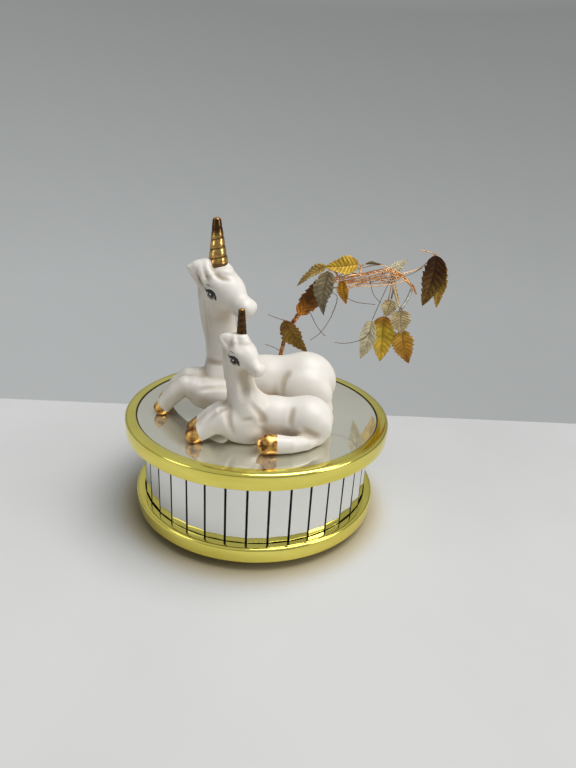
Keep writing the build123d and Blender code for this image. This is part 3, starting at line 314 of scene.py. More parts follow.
def rounded(corners, steps=6):
    """Closed outline from (x, y, reach) corners, each rounded off over its reach."""
    out = []
    pts = [Vector(corner[:2]) for corner in corners]
    for i, here in enumerate(pts):
        reach = corners[i][2]
        a = here + (pts[i - 1] - here).normalized() * reach
        b = here + (pts[(i + 1) % len(pts)] - here).normalized() * reach
        for s in range(steps + 1):
            t = s / steps
            out.append(tuple(a * (1 - t) ** 2 + here * 2 * t * (1 - t) + b * t ** 2))
    return out


# Rims

RIM_WALL = 0.9
RIM_LIP = 0.75
SEAM_OUTER = 57.0
SEAM_INNER = 56.45
SEAM_FOOT = 0.02
SEAM_CREST = 0.28
SEAM_EDGE = 0.12
RIM_SEGMENTS = 320
SEAM_SEGMENTS = 256


def rim(name, node, lip_inner):
    """Rolled band: upright outside, rounded over its top, with a thin lip turned in."""
    low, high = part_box(node)
    outer = high.x / MM
    foot = low.z / MM
    top = high.z / MM
    under = top - RIM_LIP
    profile = rounded([
        (outer - RIM_WALL, foot, 0.2), (outer, foot, 0.5), (outer, top, 2.0),
        (lip_inner, top - 0.1, 0.3), (lip_inner, under, 0.1), (outer - 0.95, under, 0.1),
    ])
    return add_piece(name, *lathe(profile, RIM_SEGMENTS), [GILT], node, "gilt_rim")


rim("upper_rim_band", "upper_rim", lip_inner=57.05)
rim("lower_rim_band", "lower_rim", lip_inner=54.4)
seat = MIRROR_TOP + SEAM_FOOT
outer_edge = [(SEAM_OUTER, seat), (SEAM_OUTER, MIRROR_TOP + SEAM_CREST)]
inner_edge = [(SEAM_INNER, MIRROR_TOP + SEAM_EDGE), (SEAM_INNER, seat)]
add_piece("mirror_seam", *lathe(outer_edge + inner_edge, SEAM_SEGMENTS), [SEAM])


# Mirror strips

STRIP_COUNT = 38
STRIP_FACE = 54.0
STRIP_BACK = STRIP_FACE - 1.6
STRIP_GAP = 0.5
STRIP_ASKEW = (0.7, 0.35)
GROUND_EDGE = 0.25


def mirror_facets():
    """Strips with ground edges, each glued on a little askew."""
    low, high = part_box("mirror_strips")
    z0 = low.z / MM
    z1 = high.z / MM
    half = STRIP_FACE * tan(pi / STRIP_COUNT) - STRIP_GAP / 2
    outline = [(STRIP_BACK, half), (STRIP_FACE - GROUND_EDGE, half), (STRIP_FACE, half - GROUND_EDGE)]
    outline += [(x, -y) for x, y in reversed(outline)]
    n = len(outline)
    verts, faces, marks = [], [], []
    rng = np.random.default_rng(4)
    for i in range(STRIP_COUNT):
        turn = TURN * i / STRIP_COUNT
        c = cos(turn)
        s = sin(turn)
        yaw, tilt = np.radians(rng.uniform(-1, 1, 2) * STRIP_ASKEW)
        faces += sleeve(1, n, len(verts))
        marks += [0 if k == 2 else 1 for k in range(n + 2)]
        for z in (z0, z1):
            lean = (z - (z0 + z1) / 2) * tilt
            glued = [(x + lean - y * yaw, y) for x, y in outline]
            verts += [(x * c - y * s, x * s + y * c, z) for x, y in glued]
    add_piece(
        "mirror_facets", verts, faces, [MIRROR, SEAM], "mirror_strips", "mirror_glass",
        face_marks=marks, smooth=False,
    )


mirror_facets()


def smooth_path(points, per):
    """Points along a smooth curve through the given ones."""
    p = [np.asarray(q, float) for q in points]
    p = [2 * p[0] - p[1]] + p + [2 * p[-1] - p[-2]]
    out = []
    for before, here, after, beyond in zip(p, p[1:], p[2:], p[3:]):
        slope = after - before
        bend = 2 * before - 5 * here + 4 * after - beyond
        swing = 3 * here - before - 3 * after + beyond
        for s in range(per):
            t = s / per
            out.append(0.5 * (2 * here + slope * t + bend * t ** 2 + swing * t ** 3))
    out.append(p[-2])
    return np.array(out)


# Porcelain figures, in millimetres above the mirror

EMPTY = 40.0
WINDOW_PAD = 3
DEPTH_LIMIT = 6
UPWARD = np.array([0, 0, 0.9])
RELAX_STEPS = (0.5, -0.52)
FLAT_BELOW = 0.3


class Clay:
    """Grid of distances to the surface of blended solids."""

    def __init__(self, low, high, step):
        self.step = step
        self.axes = [np.arange(a, b, step, dtype=np.float32) for a, b in zip(low, high)]
        self.f = np.full([len(a) for a in self.axes], EMPTY, np.float32)

    def window(self, low, high, pad):
        """Part of the grid that holds a box and some room round it."""
        cuts = []
        for axis, a, b in zip(self.axes, low, high):
            i = max(int((a - pad - axis[0]) / self.step), 0)
            j = min(max(int((b + pad - axis[0]) / self.step) + 2, i + 1), len(axis))
            cuts.append(slice(i, j))
        grid = np.meshgrid(*(axis[c] for axis, c in zip(self.axes, cuts)), indexing="ij", sparse=True)
        return tuple(cuts), grid

    def join(self, cuts, d, k):
        g = self.f[cuts]
        h = np.clip(0.5 + 0.5 * (g - d) / k, 0, 1)
        self.f[cuts] = g + (d - g) * h - k * h * (1 - h)

    def carve(self, cuts, d, k):
        g = self.f[cuts]
        h = np.clip(0.5 + 0.5 * (g + d) / k, 0, 1)
        self.f[cuts] = -d + (g + d) * h + k * h * (1 - h)

    def oval(self, centre, radii, k, axes, cut):
        """Ellipsoid, along three given axes or along X, Y and Z."""
        reach = max(radii)
        cuts, grid = self.window([c - reach for c in centre], [c + reach for c in centre], k + WINDOW_PAD)
        p = [g - c for g, c in zip(grid, centre)]
        if axes is not None:
            p = [sum(a[i] * p[i] for i in range(3)) for a in axes]
        k0 = np.sqrt(sum((q / r) ** 2 for q, r in zip(p, radii)))
        k1 = np.sqrt(sum((q / r ** 2) ** 2 for q, r in zip(p, radii)))
        d = k0 * (k0 - 1) / np.maximum(k1, 1e-4)
        (self.carve if cut else self.join)(cuts, d.astype(np.float32), k)

    def tube(self, points, k, cut):
        """Round limb through (x, y, z, radius) points."""
        pts = np.asarray(points, np.float32)
        reach = pts[:, 3].max()
        cuts, grid = self.window(pts[:, :3].min(0) - reach, pts[:, :3].max(0) + reach, k + WINDOW_PAD)
        best = np.inf
        for a, b in zip(pts[:-1], pts[1:]):
            ab = b[:3] - a[:3]
            t = sum((grid[i] - a[i]) * ab[i] for i in range(3)) / max(float(ab @ ab), 1e-6)
            t = np.clip(t, 0, 1)
            off = np.sqrt(sum((grid[i] - a[i] - t * ab[i]) ** 2 for i in range(3)))
            d = off - (a[3] + t * (b[3] - a[3]))
            best = np.minimum(best, d)
        (self.carve if cut else self.join)(cuts, best.astype(np.float32), k)

    def add(self, blend, *shape, axes=None):
        """Oval from a centre and radii, or tube from four-number points; a blend below 0 cuts it away."""
        if len(shape[0]) == 4:
            self.tube(shape, abs(blend), blend < 0)
        else:
            self.oval(*shape, abs(blend), axes, blend < 0)

    def front(self, x, z, back=False):
        """Y of the first surface met from the front, or from the back."""
        i = int(round((x - self.axes[0][0]) / self.step))
        k = int(round((z - self.axes[2][0]) / self.step))
        line = self.f[i, :, k]
        inside = np.nonzero(line < 0)[0]
        if not len(inside):
            return None
        here = inside[-1] if back else inside[0]
        past = here + 1 if back else here - 1
        share = line[here] / (line[here] - line[past])
        return float(self.axes[1][here] + (past - here) * share * self.step)

    def stroke(self, points, radius, depth, back=False, k=1.2):
        """Soft valley along (x, z) points drawn on the side that faces the front or the back."""
        line = smooth_path([(x, 0, z) for x, z in points], 8)
        spots = [(x, self.front(x, z, back), z) for x, _, z in line]
        spots = np.array([p for p in spots if p[1] is not None])
        if len(spots) < 2:
            return
        steady = np.pad(spots[:, 1], 4, mode="edge")
        spots[:, 1] = np.convolve(steady, np.ones(9) / 9, mode="valid")
        fade = np.sin(np.pi * (np.arange(len(spots)) + 0.5) / len(spots)) ** 0.5
        out = radius - depth * fade + k * (1 - fade)
        spots[:, 1] += out if back else -out
        self.tube([(*p, radius) for p in spots], k, True)

    def mesh(self):
        """Surface nets: a point in each cell that the surface crosses, a quad for each crossed edge."""
        f = self.f
        inside = f < 0
        size = np.array(f.shape) - 1
        corners = np.array([(i, j, k) for i in (0, 1) for j in (0, 1) for k in (0, 1)])
        total = np.zeros(size, np.int8)
        for corner in corners:
            total += inside[tuple(slice(a, a + n) for a, n in zip(corner, size))]
        cells = np.argwhere((total > 0) & (total < 8))
        index = np.full(size, -1, np.int64)
        index[tuple(cells.T)] = np.arange(len(cells))
        where = np.zeros((len(cells), 3))
        crossings = np.zeros(len(cells))
        ways = np.eye(3, dtype=int)
        for a in corners:
            for way in ways[a == 0]:
                fa = f[tuple((cells + a).T)]
                fb = f[tuple((cells + a + way).T)]
                hit = (fa < 0) != (fb < 0)
                t = np.where(hit, fa / np.where(hit, fa - fb, 1), 0)
                where += (a + t[:, None] * way) * hit[:, None]
                crossings += hit
        verts = cells + where / crossings[:, None]
        quads = []
        for axis in range(3):
            u = (axis + 1) % 3
            v = (axis + 2) % 3
            a = np.delete(inside, -1, axis)
            b = np.delete(inside, 0, axis)
            for order, hits in ((1, a & ~b), (-1, ~a & b)):
                at = np.argwhere(hits)
                near = at[:, [u, v]]
                at = at[((near > 0) & (near < size[[u, v]])).all(1)]
                ring = []
                for du, dv in ((-1, -1), (0, -1), (0, 0), (-1, 0)):
                    ring.append(index[tuple((at + du * ways[u] + dv * ways[v]).T)])
                quads.append(np.stack(ring, 1)[:, ::order])
        quads = np.concatenate(quads)
        quads = quads[(quads >= 0).all(1)]
        origin = np.array([a[0] for a in self.axes])
        return verts * self.step + origin, quads, cells

    def hollows(self, cells, reach):
        """How far each cell of the surface lies in a crease, from 0 to 1."""
        level = np.clip(self.f, -DEPTH_LIMIT, DEPTH_LIMIT).astype(np.float32)
        soft = level
        for axis in range(3):
            total = np.cumsum(soft, axis=axis, dtype=np.float64)
            n = soft.shape[axis]
            hi = np.minimum(np.arange(n) + reach, n - 1)
            lo = np.maximum(np.arange(n) - reach - 1, 0)
            width = (hi - lo).reshape([-1 if a == axis else 1 for a in range(3)])
            soft = ((np.take(total, hi, axis) - np.take(total, lo, axis)) / width).astype(np.float32)
        return np.clip((level - soft)[tuple(cells.T)], 0, 1)

    def shelter(self, cells, steps):
        """How far each cell of the surface is roofed over by what stands out above it, from 0 to 1."""
        slope = np.stack([g[tuple(cells.T)] for g in np.gradient(self.f)], 1)
        slope /= norm(slope, axis=1)[:, None] + 1e-6
        way = slope + UPWARD
        way /= norm(way, axis=1)[:, None] + 1e-6
        total = np.zeros(len(cells))
        for reach in steps:
            spot = np.round(cells + way * (reach / self.step)).astype(int)
            spot = np.clip(spot, 0, np.array(self.f.shape) - 1)
            total += np.clip(1 - self.f[tuple(spot.T)] / reach, 0, 1)
        return total / len(steps)


def spread(values, quads, rounds):
    """Softens values over the surface."""
    edges = np.concatenate([quads[:, [k, (k + 1) % 4]] for k in range(4)])
    here, there = np.concatenate([edges, edges[:, ::-1]]).T
    count = np.bincount(here, minlength=len(values))
    for _ in range(rounds):
        values = np.bincount(here, values[there], len(values)) / count
    return values


def relax(verts, quads, rounds):
    """Evens the points out, in and back by turns, without changing how they are joined."""
    flat = verts[:, 2] < FLAT_BELOW
    for n in range(rounds):
        mean = np.stack([spread(v, quads, 1) for v in verts.T], 1)
        moved = verts + (mean - verts) * RELAX_STEPS[n % 2]
        moved[flat, 2] = verts[flat, 2]
        verts = moved
    return verts


class Head:
    """Frame of a head: a along the face, b to its two sides, c up from it."""

    def __init__(self, centre, yaw, pitch, size, nose, muzzle):
        yaw = radians(yaw)
        pitch = radians(pitch)
        level = cos(pitch)
        self.centre = Vector(centre)
        self.f = Vector((cos(yaw) * level, -sin(yaw) * level, -sin(pitch)))
        self.s = self.f.cross(Vector((0, 0, 1))).normalized()
        self.u = self.s.cross(self.f)
        self.size = size
        self.nose = nose
        self.muzzle = muzzle
        self.axes = [tuple(self.f), tuple(self.s), tuple(self.u)]

    def at(self, a, b, c):
        """Place in millimetres, with what lies ahead drawn in by the nose's share."""
        a = a * (self.nose if a > 0 else 1)
        return tuple(self.centre + (self.f * a + self.s * b + self.u * c) * self.size)

    def sculpt(self, clay):
        """Adds skull, jaw, nose, brows, eyeballs and nostrils, and cuts the nose holes and the mouth."""
        m = self.muzzle
        rows = [
            (3, (0, 0, 0), (9.4, 7.8, 9.0)),
            (3, (1.5, 0, -6.2), (8.2, 6.9, 7.6)),
            (3, (4, 0, 0.2, 7.9), (11, 0, -1.6, 6.2 * m), (17, 0, -2.4, 5.0 * m), (20, 0, -2.7, 4.5 * m)),
            (3, (9.0, 0, 0.7), (6.4, 7.1 * m, 6.6 * m)),
            (2.4, (21, 0, -3.0), (4.3, 4.5 * m, 4.3 * m)),
            (1.8, (18.5, 0, -5.4), (4.6, 3.6 * m, 2.6 * m)),
        ]
        for side in (1, -1):
            rows += [
                (2.2, (4.4, side * 5.8, 3.0), (3.6, 2.2, 2.0)),
                (1.2, (4.4, side * 6.5, -0.9), (3.2, 1.8, 2.3)),
                (1.6, (22.6, side * 2.4, -1.5), (2.0, 1.8, 1.7)),
                (-0.5, (24.2, side * 2.4, -1.4, 0.3), (23.0, side * 3.7, -2.2, 0.5)),
                (-0.6, (25.0, 0, -4.6, 0.3), (22.5, side * 3.9, -4.8, 0.35), (18, side * 4.3, -4.6, 0.25)),
            ]
        for blend, *shape in rows:
            if len(shape[0]) == 4:
                shape = [(*self.at(a, b, c), r * self.size) for a, b, c, r in shape]
            else:
                shape = [self.at(*shape[0]), [r * self.size for r in shape[1]]]
            clay.add(blend * self.size, *shape, axes=self.axes)


CREASE = 1.8
OVERHANGS = (3, 5, 8)
# Most that the painted shade may darken the glaze
SHADE_LIMIT = 0.55
HOOF_REACH = 5.5


def figure(name, node, low, high, step, head, solids, locks, grooves, hooves):
    """Porcelain figure from its solids, head, hair, grooves and hooves."""
    clay = Clay(low, high, step)
    for row in solids:
        clay.add(*row)
    head.sculpt(clay)
    for row in locks:
        clay.add(*row)
    for stroke in grooves:
        clay.stroke(*stroke)
    clay.f = np.maximum(clay.f, -clay.axes[2][None, None, :])
    verts, quads, cells = clay.mesh()
    hollow_shade = spread(clay.hollows(cells, max(2, int(round(CREASE / step)))), quads, 5)
    overhang_shade = spread(clay.shelter(cells, OVERHANGS), quads, 12)
    verts = relax(verts, quads, 6)
    gilt = np.zeros(len(verts))
    for centre, way, reach, radius in hooves:
        way = np.asarray(way, float) / norm(way)
        off = verts - np.asarray(centre, float)
        along = off @ way
        near = norm(off - along[:, None] * way, axis=1) < radius
        ahead = np.clip((along + reach) / (0.6 * step) + 0.5, 0, 1)
        gilt = np.maximum(gilt, near * ahead * (along < HOOF_REACH))
    # Painted shade for the glaze: creases and places roofed over from above are marked to be darkened
    marks = {
        "hollow_shade": np.clip(hollow_shade * 1.5 + overhang_shade * 0.8 - 0.12, 0, SHADE_LIMIT),
        "gilt": gilt,
        "foot": np.clip((0.55 - verts[:, 2]) / 0.3, 0, 1) * 0.8,
    }
    return add_piece(name, verts + ON_MIRROR, quads, [GLAZE], node, "porcelain", marks)


# Solids and locks: blend, shape. Grooves: path, radius, depth, behind. Hooves: end, way, length, radius

MARE_HEAD = Head((-20.6, 1.6, 58.4), yaw=36, pitch=15, size=1, nose=0.875, muzzle=0.96)
MARE_SOLIDS = [
    (3, (21.5, 6, 13.2), (15, 13.2, 14.2)),
    (5, (4, 6.5, 12), (20, 12.2, 12.6)),
    (4, (-14, 6, 13.5), (12.5, 12, 13.5)),
    (3, (22, -4.5, 10), (12.5, 6.5, 11)),
    (3, (22, 16.5, 10), (12.5, 6.5, 11)),
    (3, (-19.5, -1, 12), (7.4, 8, 11)),
    (3, (-19, 10, 12), (7.4, 8, 11)),
    (5, (-14, 6, 17, 11.5), (-17.4, 6, 27, 8.9), (-19.6, 6, 36, 7.5), (-20.6, 5.4, 44, 7.2),
     (-21.2, 4.4, 53, 7.3)),
    (2, (-17, -8, 8, 8), (-24.8, -10, 10.5, 7), (-29.4, -11, 13.2, 5.4), (-33, -11.5, 14.3, 4.5),
     (-37.2, -12, 10.8, 4.2), (-40.8, -12.3, 6.8, 3.8), (-43.6, -12.6, 3.2, 3.7)),
    (2, (-17, 2, 9, 7.5), (-24.8, 0, 11.5, 6.6), (-29.4, -1, 14.2, 5.2), (-33.4, -1.8, 15, 4.4),
     (-37.8, -2.2, 11.4, 4.1), (-41.6, -2.4, 7, 3.7), (-43.8, -2.6, 3.2, 3.6)),
    (2.5, (-30, -6, 13), (6, 5, 3.6)),
    (2, (31, -5.5, 4.2, 4.2), (22, -8.5, 4.2, 3.9), (12, -9.6, 4.4, 4.2), (6.4, -10, 4.4, 4.5)),
    (2, (32, 10, 12, 3), (32.5, 15, 7, 3.4), (29, 19.5, 4.4, 3.2), (22, 21.5, 3.4, 1.8)),
    (2, (-26, 8, 60, 2.6), (-27.5, 9, 50, 3), (-26.5, 10, 40, 3), (-25, 11, 30, 2.6),
     (-22, 12, 24, 1.6)),
    (2, (-24, 9, 62, 2.4), (-23.5, 12, 50, 2.8), (-22, 13, 38, 2.6), (-20, 14, 28, 1.4)),
]
MARE_LOCKS = [
    (2, (-18, 2, 64.5, 4), (-22.5, 3, 66.6, 3.8), (-26, 5.5, 65, 3.6), (-28, 8, 59, 2.8)),
    (1.6, (-25, -0.4, 66.8, 3.3), (-28.8, -1.6, 66.2, 3), (-33, -2.4, 66.2, 0.7)),
    (1.4, (-31.2, -2.2, 65, 1.7), (-29, -2.8, 61.8, 1.8), (-27.4, -3.2, 58.8, 1.2)),
    (-0.8, (-32, -5, 65.4, 0.3), (-29.8, -5.7, 63, 0.9), (-28, -5.9, 60.6, 0.5)),
    (1.5, (-19, 7.5, 64, 3), (-23, 11.5, 65, 3.4), (-27, 14.5, 65, 1.2)),
    (0.9, (-25.2, -1.4, 67.8, 1.7), (-24.2, -4, 65.8, 1.7), (-22.4, -5.8, 63.8, 1.3),
     (-21, -6.6, 61.8, 0.6)),
    (0.9, (-27.6, -2, 67.4, 1.6), (-26.6, -4.2, 64.6, 1.7), (-25.4, -5.6, 61.8, 1.3),
     (-24.6, -6, 59.6, 0.6)),
    (1.2, (-17.2, -3.2, 64.8), (4, 2.6, 2)),
]
MARE_GROOVES = [
    ([(-20.8, 64.6), (-18, 62.9), (-14.2, 62.8)], 0.7, 0.4),
    ([(13.2, 21.6), (10.8, 17), (9.8, 11)], 1.6, 0.7),
    ([(-9.5, 26), (-8.4, 19), (-9.5, 12), (-12, 6)], 2.6, 0.9),
    ([(-26, 23), (-20, 23.6), (-14, 24)], 1.2, 0.5),
    ([(-25.5, 14.8), (-20, 15.3), (-14.5, 15.5)], 1.2, 0.5),
    ([(-26.4, 52), (-26.2, 44), (-25.2, 36), (-24.4, 28)], 0.9, 0.45),
    ([(-24.2, 49), (-24, 43), (-23.4, 36)], 0.8, 0.3),
    ([(-27, 52), (-26.4, 40), (-25.4, 29)], 1.2, 0.7, True),
    ([(-24.5, 54), (-24, 40), (-22.6, 28)], 1.2, 0.7, True),
    ([(18, 12), (25, 8), (31, 8)], 2, 0.8, True),
]
MARE_HOOVES = [
    ((-43.6, -12.6, 3.2), (-0.72, -0.05, -0.69), 1.2, 6),
    ((-43.8, -2.6, 3.2), (-0.72, 0, -0.69), 1.2, 6),
    ((6.4, -10, 4.4), (-1, 0, 0), 3.6, 4.9),
]
FOAL_HEAD = Head((-7.4, -28.6, 38), yaw=38, pitch=15, size=0.7, nose=0.78, muzzle=0.88)
FOAL_SOLIDS = [
    (2.5, (22.5, -27, 9), (11.3, 9.8, 10)),
    (4, (8, -27, 8.8), (14, 8.8, 9.4)),
    (3, (-3.2, -27.5, 9.5), (9.3, 8.8, 10.5)),
    (2, (24, -32.5, 7.4), (9, 5, 8.2)),
    (2, (24, -21.5, 7.4), (9, 5, 8.2)),
    (2, (-4, -31.5, 9), (7.3, 5.6, 8.6)),
    (2, (-2.5, -33.6, 4.6), (6.6, 4.4, 6)),
    (3, (-3.8, -32.2, 15.5), (5.8, 4.8, 9)),
    (2, (-13, -34.8, 7.6, 4.2), (-7, -34.8, 4.2, 4.2), (-1, -34.6, 3.6, 4)),
    (4, (-3.4, -27.4, 12.5, 8.3), (-5.6, -27.5, 19.5, 6.4), (-6.9, -27.8, 26, 5.8), (-7.4, -28, 34, 5.7)),
    (1.8, (-4, -32.6, 7, 5.8), (-9.5, -33.6, 9.5, 5.8), (-13, -34.6, 10.4, 5.3),
     (-16.5, -35.3, 8.4, 4.8), (-20.5, -36.3, 5.4, 4.2), (-24.4, -37.4, 3.2, 3.7)),
    (1.8, (-4, -27, 8, 6), (-10, -28, 10, 5.5), (-14, -28.6, 10.3, 4.9), (-17.5, -29.4, 8.8, 4.5),
     (-21.5, -30.2, 5.8, 4), (-24.8, -30.8, 3.2, 3.8)),
    (1.8, (27, -34, 3, 2.6), (22.5, -38.6, 3.3, 3.1), (16, -42, 3.8, 3.5), (6.6, -43.6, 4.4, 4.4)),
    (1.4, (31.5, -22, 8, 2.2), (32.2, -18.6, 5.2, 2.4), (29, -16.8, 3, 2), (24, -16.4, 2.4, 1.1)),
    (1.5, (-12.2, -26, 41, 1.8), (-12.6, -25, 33, 2.1), (-11.8, -24, 25, 2), (-10, -23.5, 18, 1.2)),
    (1.5, (-10, -24.4, 42, 1.8), (-9.5, -22.6, 33, 2), (-8.6, -22, 24, 1.2)),
]
FOAL_LOCKS = [
    (1.5, (-5.6, -28.6, 42.4, 2.6), (-8.6, -27.8, 43.4, 2.5), (-11, -26.4, 42, 2.3),
     (-12.4, -25.4, 38, 1.8)),
    (1.2, (-11.9, -31, 43.6), (3.6, 1.6, 2.7)),
    (0.9, (-13.6, -31.4, 43.4, 1.3), (-12.2, -31.8, 41, 1.2), (-11.4, -32, 39.4, 0.7)),
    (-0.6, (-13.4, -32.8, 44, 0.4), (-12, -33.2, 42.4, 0.6), (-11, -33.4, 40.8, 0.4)),
    (1.2, (-6, -24.8, 41.6, 1.9), (-8, -21.8, 42.4, 2.2), (-10, -19.8, 42.4, 0.9)),
    (0.7, (-9.2, -31, 45, 1.1), (-8.6, -32.4, 43.2, 1.2), (-8.4, -33.4, 41.2, 0.7)),
    (0.9, (-5.2, -31.4, 43), (2.6, 1.8, 1.5)),
    (1, (-6.3, -29.8, 44.4), (3, 2.6, 1.9)),
]
FOAL_GROOVES = [
    ([(16, 17), (15.2, 12.6), (14.8, 9.2)], 1.2, 0.6),
    ([(19.6, 9.6), (23.5, 7.6), (28, 5.6)], 1.6, 0.7),
    ([(-0.8, 18.8), (2.6, 14.5), (3.9, 11), (3.4, 4.6)], 1.6, 0.7),
    ([(-10.4, 18.4), (-9.6, 11), (-7.4, 4.2)], 1.2, 0.35),
    ([(-21.4, 8), (-18, 11.8), (-15, 14.6), (-11, 16.2)], 1.1, 0.5),
    ([(-5.4, 30.5), (-4.4, 26), (-4, 21.5)], 2.8, 1.5),
    ([(-4.8, 11.4), (-2.2, 11.9), (0.4, 11.7)], 0.8, 0.25),
    ([(-12.4, 36), (-12, 26), (-10.6, 17)], 1, 0.5, True),
]
FOAL_HOOVES = [
    ((-24.4, -37.4, 3.2), (-0.93, -0.1, -0.36), 2.6, 5.5),
    ((-24.8, -30.8, 3.2), (-0.93, 0, -0.36), 2.4, 5.5),
    ((6.6, -43.6, 4.4), (-1, -0.1, 0), 3.8, 4.9),
]
STEP = 0.45
FOAL_STEP = STEP * 0.8
MARE = figure(
    "mare_porcelain", "mare", (-53, -19, -1.4), (43, 29, 75), STEP,
    MARE_HEAD, MARE_SOLIDS, MARE_LOCKS, MARE_GROOVES, MARE_HOOVES,
)
FOAL = figure(
    "foal_porcelain", "foal", (-31, -50, -1.4), (39, -12, 53), FOAL_STEP,
    FOAL_HEAD, FOAL_SOLIDS, FOAL_LOCKS, FOAL_GROOVES, FOAL_HOOVES,
)


# Painted eyes, laid on the glaze

RAY_START = 0.006
RAY_LENGTH = 0.02
PATCH_RINGS = 4
EYE_ASIDE = 7.6
EYE_TURN = (0.92, 0.3, 0.12)


def patch(tree, origin, right, up, inward, outline, lift):
    """Thin patch of paint inside a closed outline, laid on a surface."""
    middle = np.mean(outline, 0)
    points = [middle]
    for r in range(1, PATCH_RINGS + 1):
        points += [middle + (np.asarray(p) - middle) * r / PATCH_RINGS for p in outline]
    verts = []
    for x, y in points:
        start = origin + right * (x * MM) + up * (y * MM) - inward * RAY_START
        spot = tree.ray_cast(start, inward, RAY_LENGTH)[0]
        if spot is None:
            spot = start + inward * RAY_START
        verts.append(tuple((spot - inward * (lift * MM)) / MM))
    n = len(outline)
    faces = [(0, 1 + k, 1 + (k + 1) % n) for k in range(n)]
    for r in range(PATCH_RINGS - 1):
        a = 1 + r * n
        b = a + n
        faces += [(a + k, b + k, b + (k + 1) % n, a + (k + 1) % n) for k in range(n)]
    return verts, faces


def ribbon(points, widths):
    """Outline of a brush stroke through points with widths."""
    pts = [Vector(p) for p in points]
    left, right = [], []
    for i, p in enumerate(pts):
        way = (pts[min(i + 1, len(pts) - 1)] - pts[max(i - 1, 0)]).normalized()
        side = Vector((-way.y, way.x)) * widths[i] / 2
        left.append(tuple(p + side))
        right.append(tuple(p - side))
    return left + right[::-1]


def circle(x, y, wide, tall, count=16):
    """Outline of an upright oval."""
    turns = np.linspace(0, TURN, count, endpoint=False)
    return [(x + wide * cos(t), y + tall * sin(t)) for t in turns]


ALMOND = [(-1.7, 0.1), (-1.0, 0.75), (-0.3, 1.05), (0.6, 0.95), (1.3, 0.5),
          (1.9, -0.25), (1.1, -0.75), (0.2, -0.95), (-0.7, -0.7), (-1.3, -0.2)]
UPPER_LID = ribbon(
    [(-2.5, 0.85), (-1.6, 0.45), (-0.9, 0.95), (-0.1, 1.2), (0.8, 1.05), (1.5, 0.5), (2.1, -0.55)],
    [0.1, 0.5, 0.8, 0.95, 0.9, 0.75, 0.25],
)
LOWER_LID = ribbon([(-1.5, 0.1), (-0.7, -0.8), (0.3, -1.05), (1.4, -0.75)], [0.1, 0.2, 0.24, 0.1])
BROW = ribbon([(-2.4, 2.0), (-1.3, 2.3), (-0.1, 2.4)], [0.08, 0.3, 0.08])
EYE_LAYERS = [
    (ALMOND, 3, 0.03),
    (circle(0.15, 0.05, 1.0, 0.98), 1, 0.05),
    (circle(0.15, 0.12, 0.66, 0.7), 0, 0.07),
    (UPPER_LID, 0, 0.08),
    (LOWER_LID, 2, 0.06),
    (BROW, 2, 0.05),
    # White dot in the eye: a painted highlight
    (circle(-0.05, 0.3, 0.24, 0.24, 10), 4, 0.1),
]


def eyes(name, piece, head, ahead, below, scale, slant):
    """Both painted eyes, turned down towards the nose by a slant in degrees."""
    tree = BVHTree.FromObject(piece, bpy.context.evaluated_depsgraph_get())
    verts, faces, marks = [], [], []
    c = cos(radians(slant))
    s = sin(radians(slant))
    aside, back, down = EYE_TURN
    for side in (1, -1):
        origin = Vector(head.at(ahead, side * EYE_ASIDE, -below)) * MM + Vector((0, 0, MIRROR_TOP * MM))
        inward = (head.s * -side * aside - head.f * back - head.u * down).normalized()
        right = (head.f - inward * head.f.dot(inward)).normalized()
        up = (head.u - inward * head.u.dot(inward) - right * head.u.dot(right)).normalized()
        for outline, mark, lift in EYE_LAYERS:
            shape = [((x * c + y * s) * scale, (y * c - x * s) * scale) for x, y in outline]
            v, f = patch(tree, origin, right, up, inward, shape, lift)
            faces += [tuple(i + len(verts) for i in face) for face in f]
            marks += [mark] * len(f)
            verts += v
    add_piece(name, verts, faces, [INK, IRIS, LID, WHITE, GLINT], slot="porcelain", face_marks=marks)


eyes("mare_eyes", MARE, MARE_HEAD, ahead=4.8, below=2.0, scale=1.6, slant=8)
eyes("foal_eyes", FOAL, FOAL_HEAD, ahead=5.4, below=2.0, scale=1.4, slant=6)


# Horns with a spiral groove

HORN_ROWS = 150
HORN_COLUMNS = 48
HORN_SHOULDER = 0.94
HORN_CAP = 0.06
GROOVE_END = 0.95
GROOVE_FADE = 0.1
GROOVE_DEPTH = 0.08


def horn(name, node, foot, tip, foot_radius, tip_radius, turns, shades):
    """Tapered horn wound with a rounded ridge, its lustre shaded from foot to tip."""
    foot = np.array(foot, float)
    run = np.array(tip, float) - foot
    length = norm(run)
    way = run / length
    side = np.cross(way, (0, 1, 0))
    side /= norm(side)
    other = np.cross(way, side)
    verts, hollow_shade, shade = [], [], []
    for i in range(HORN_ROWS + 1):
        t = i / HORN_ROWS
        past = max(0.0, (t - HORN_SHOULDER) / HORN_CAP)
        cap = sqrt(max(0.0, 1 - past ** 2))
        radius = (foot_radius + (tip_radius - foot_radius) * t) * cap
        shade += [np.interp(t, *zip(*shades))] * HORN_COLUMNS
        for k in range(HORN_COLUMNS):
            turn = TURN * k / HORN_COLUMNS
            ridge = abs(sin(pi * (t * turns - k / HORN_COLUMNS)))
            dip = (1 - ridge) ** 2 * min(1.0, max(0.0, (GROOVE_END - t) / GROOVE_FADE))
            r = radius * (1 - GROOVE_DEPTH * dip) + 1e-4
            verts.append(foot + way * length * t + (side * cos(turn) + other * sin(turn)) * r)
            hollow_shade.append(dip)
    faces = sleeve(HORN_ROWS, HORN_COLUMNS)
    # The groove's depth becomes the mark for the painted shade in the lustre
    marks = {"hollow_shade": hollow_shade, "shade": shade}
    add_piece(name, np.array(verts) + ON_MIRROR, faces, [LUSTRE], node, "gold_lustre", marks)


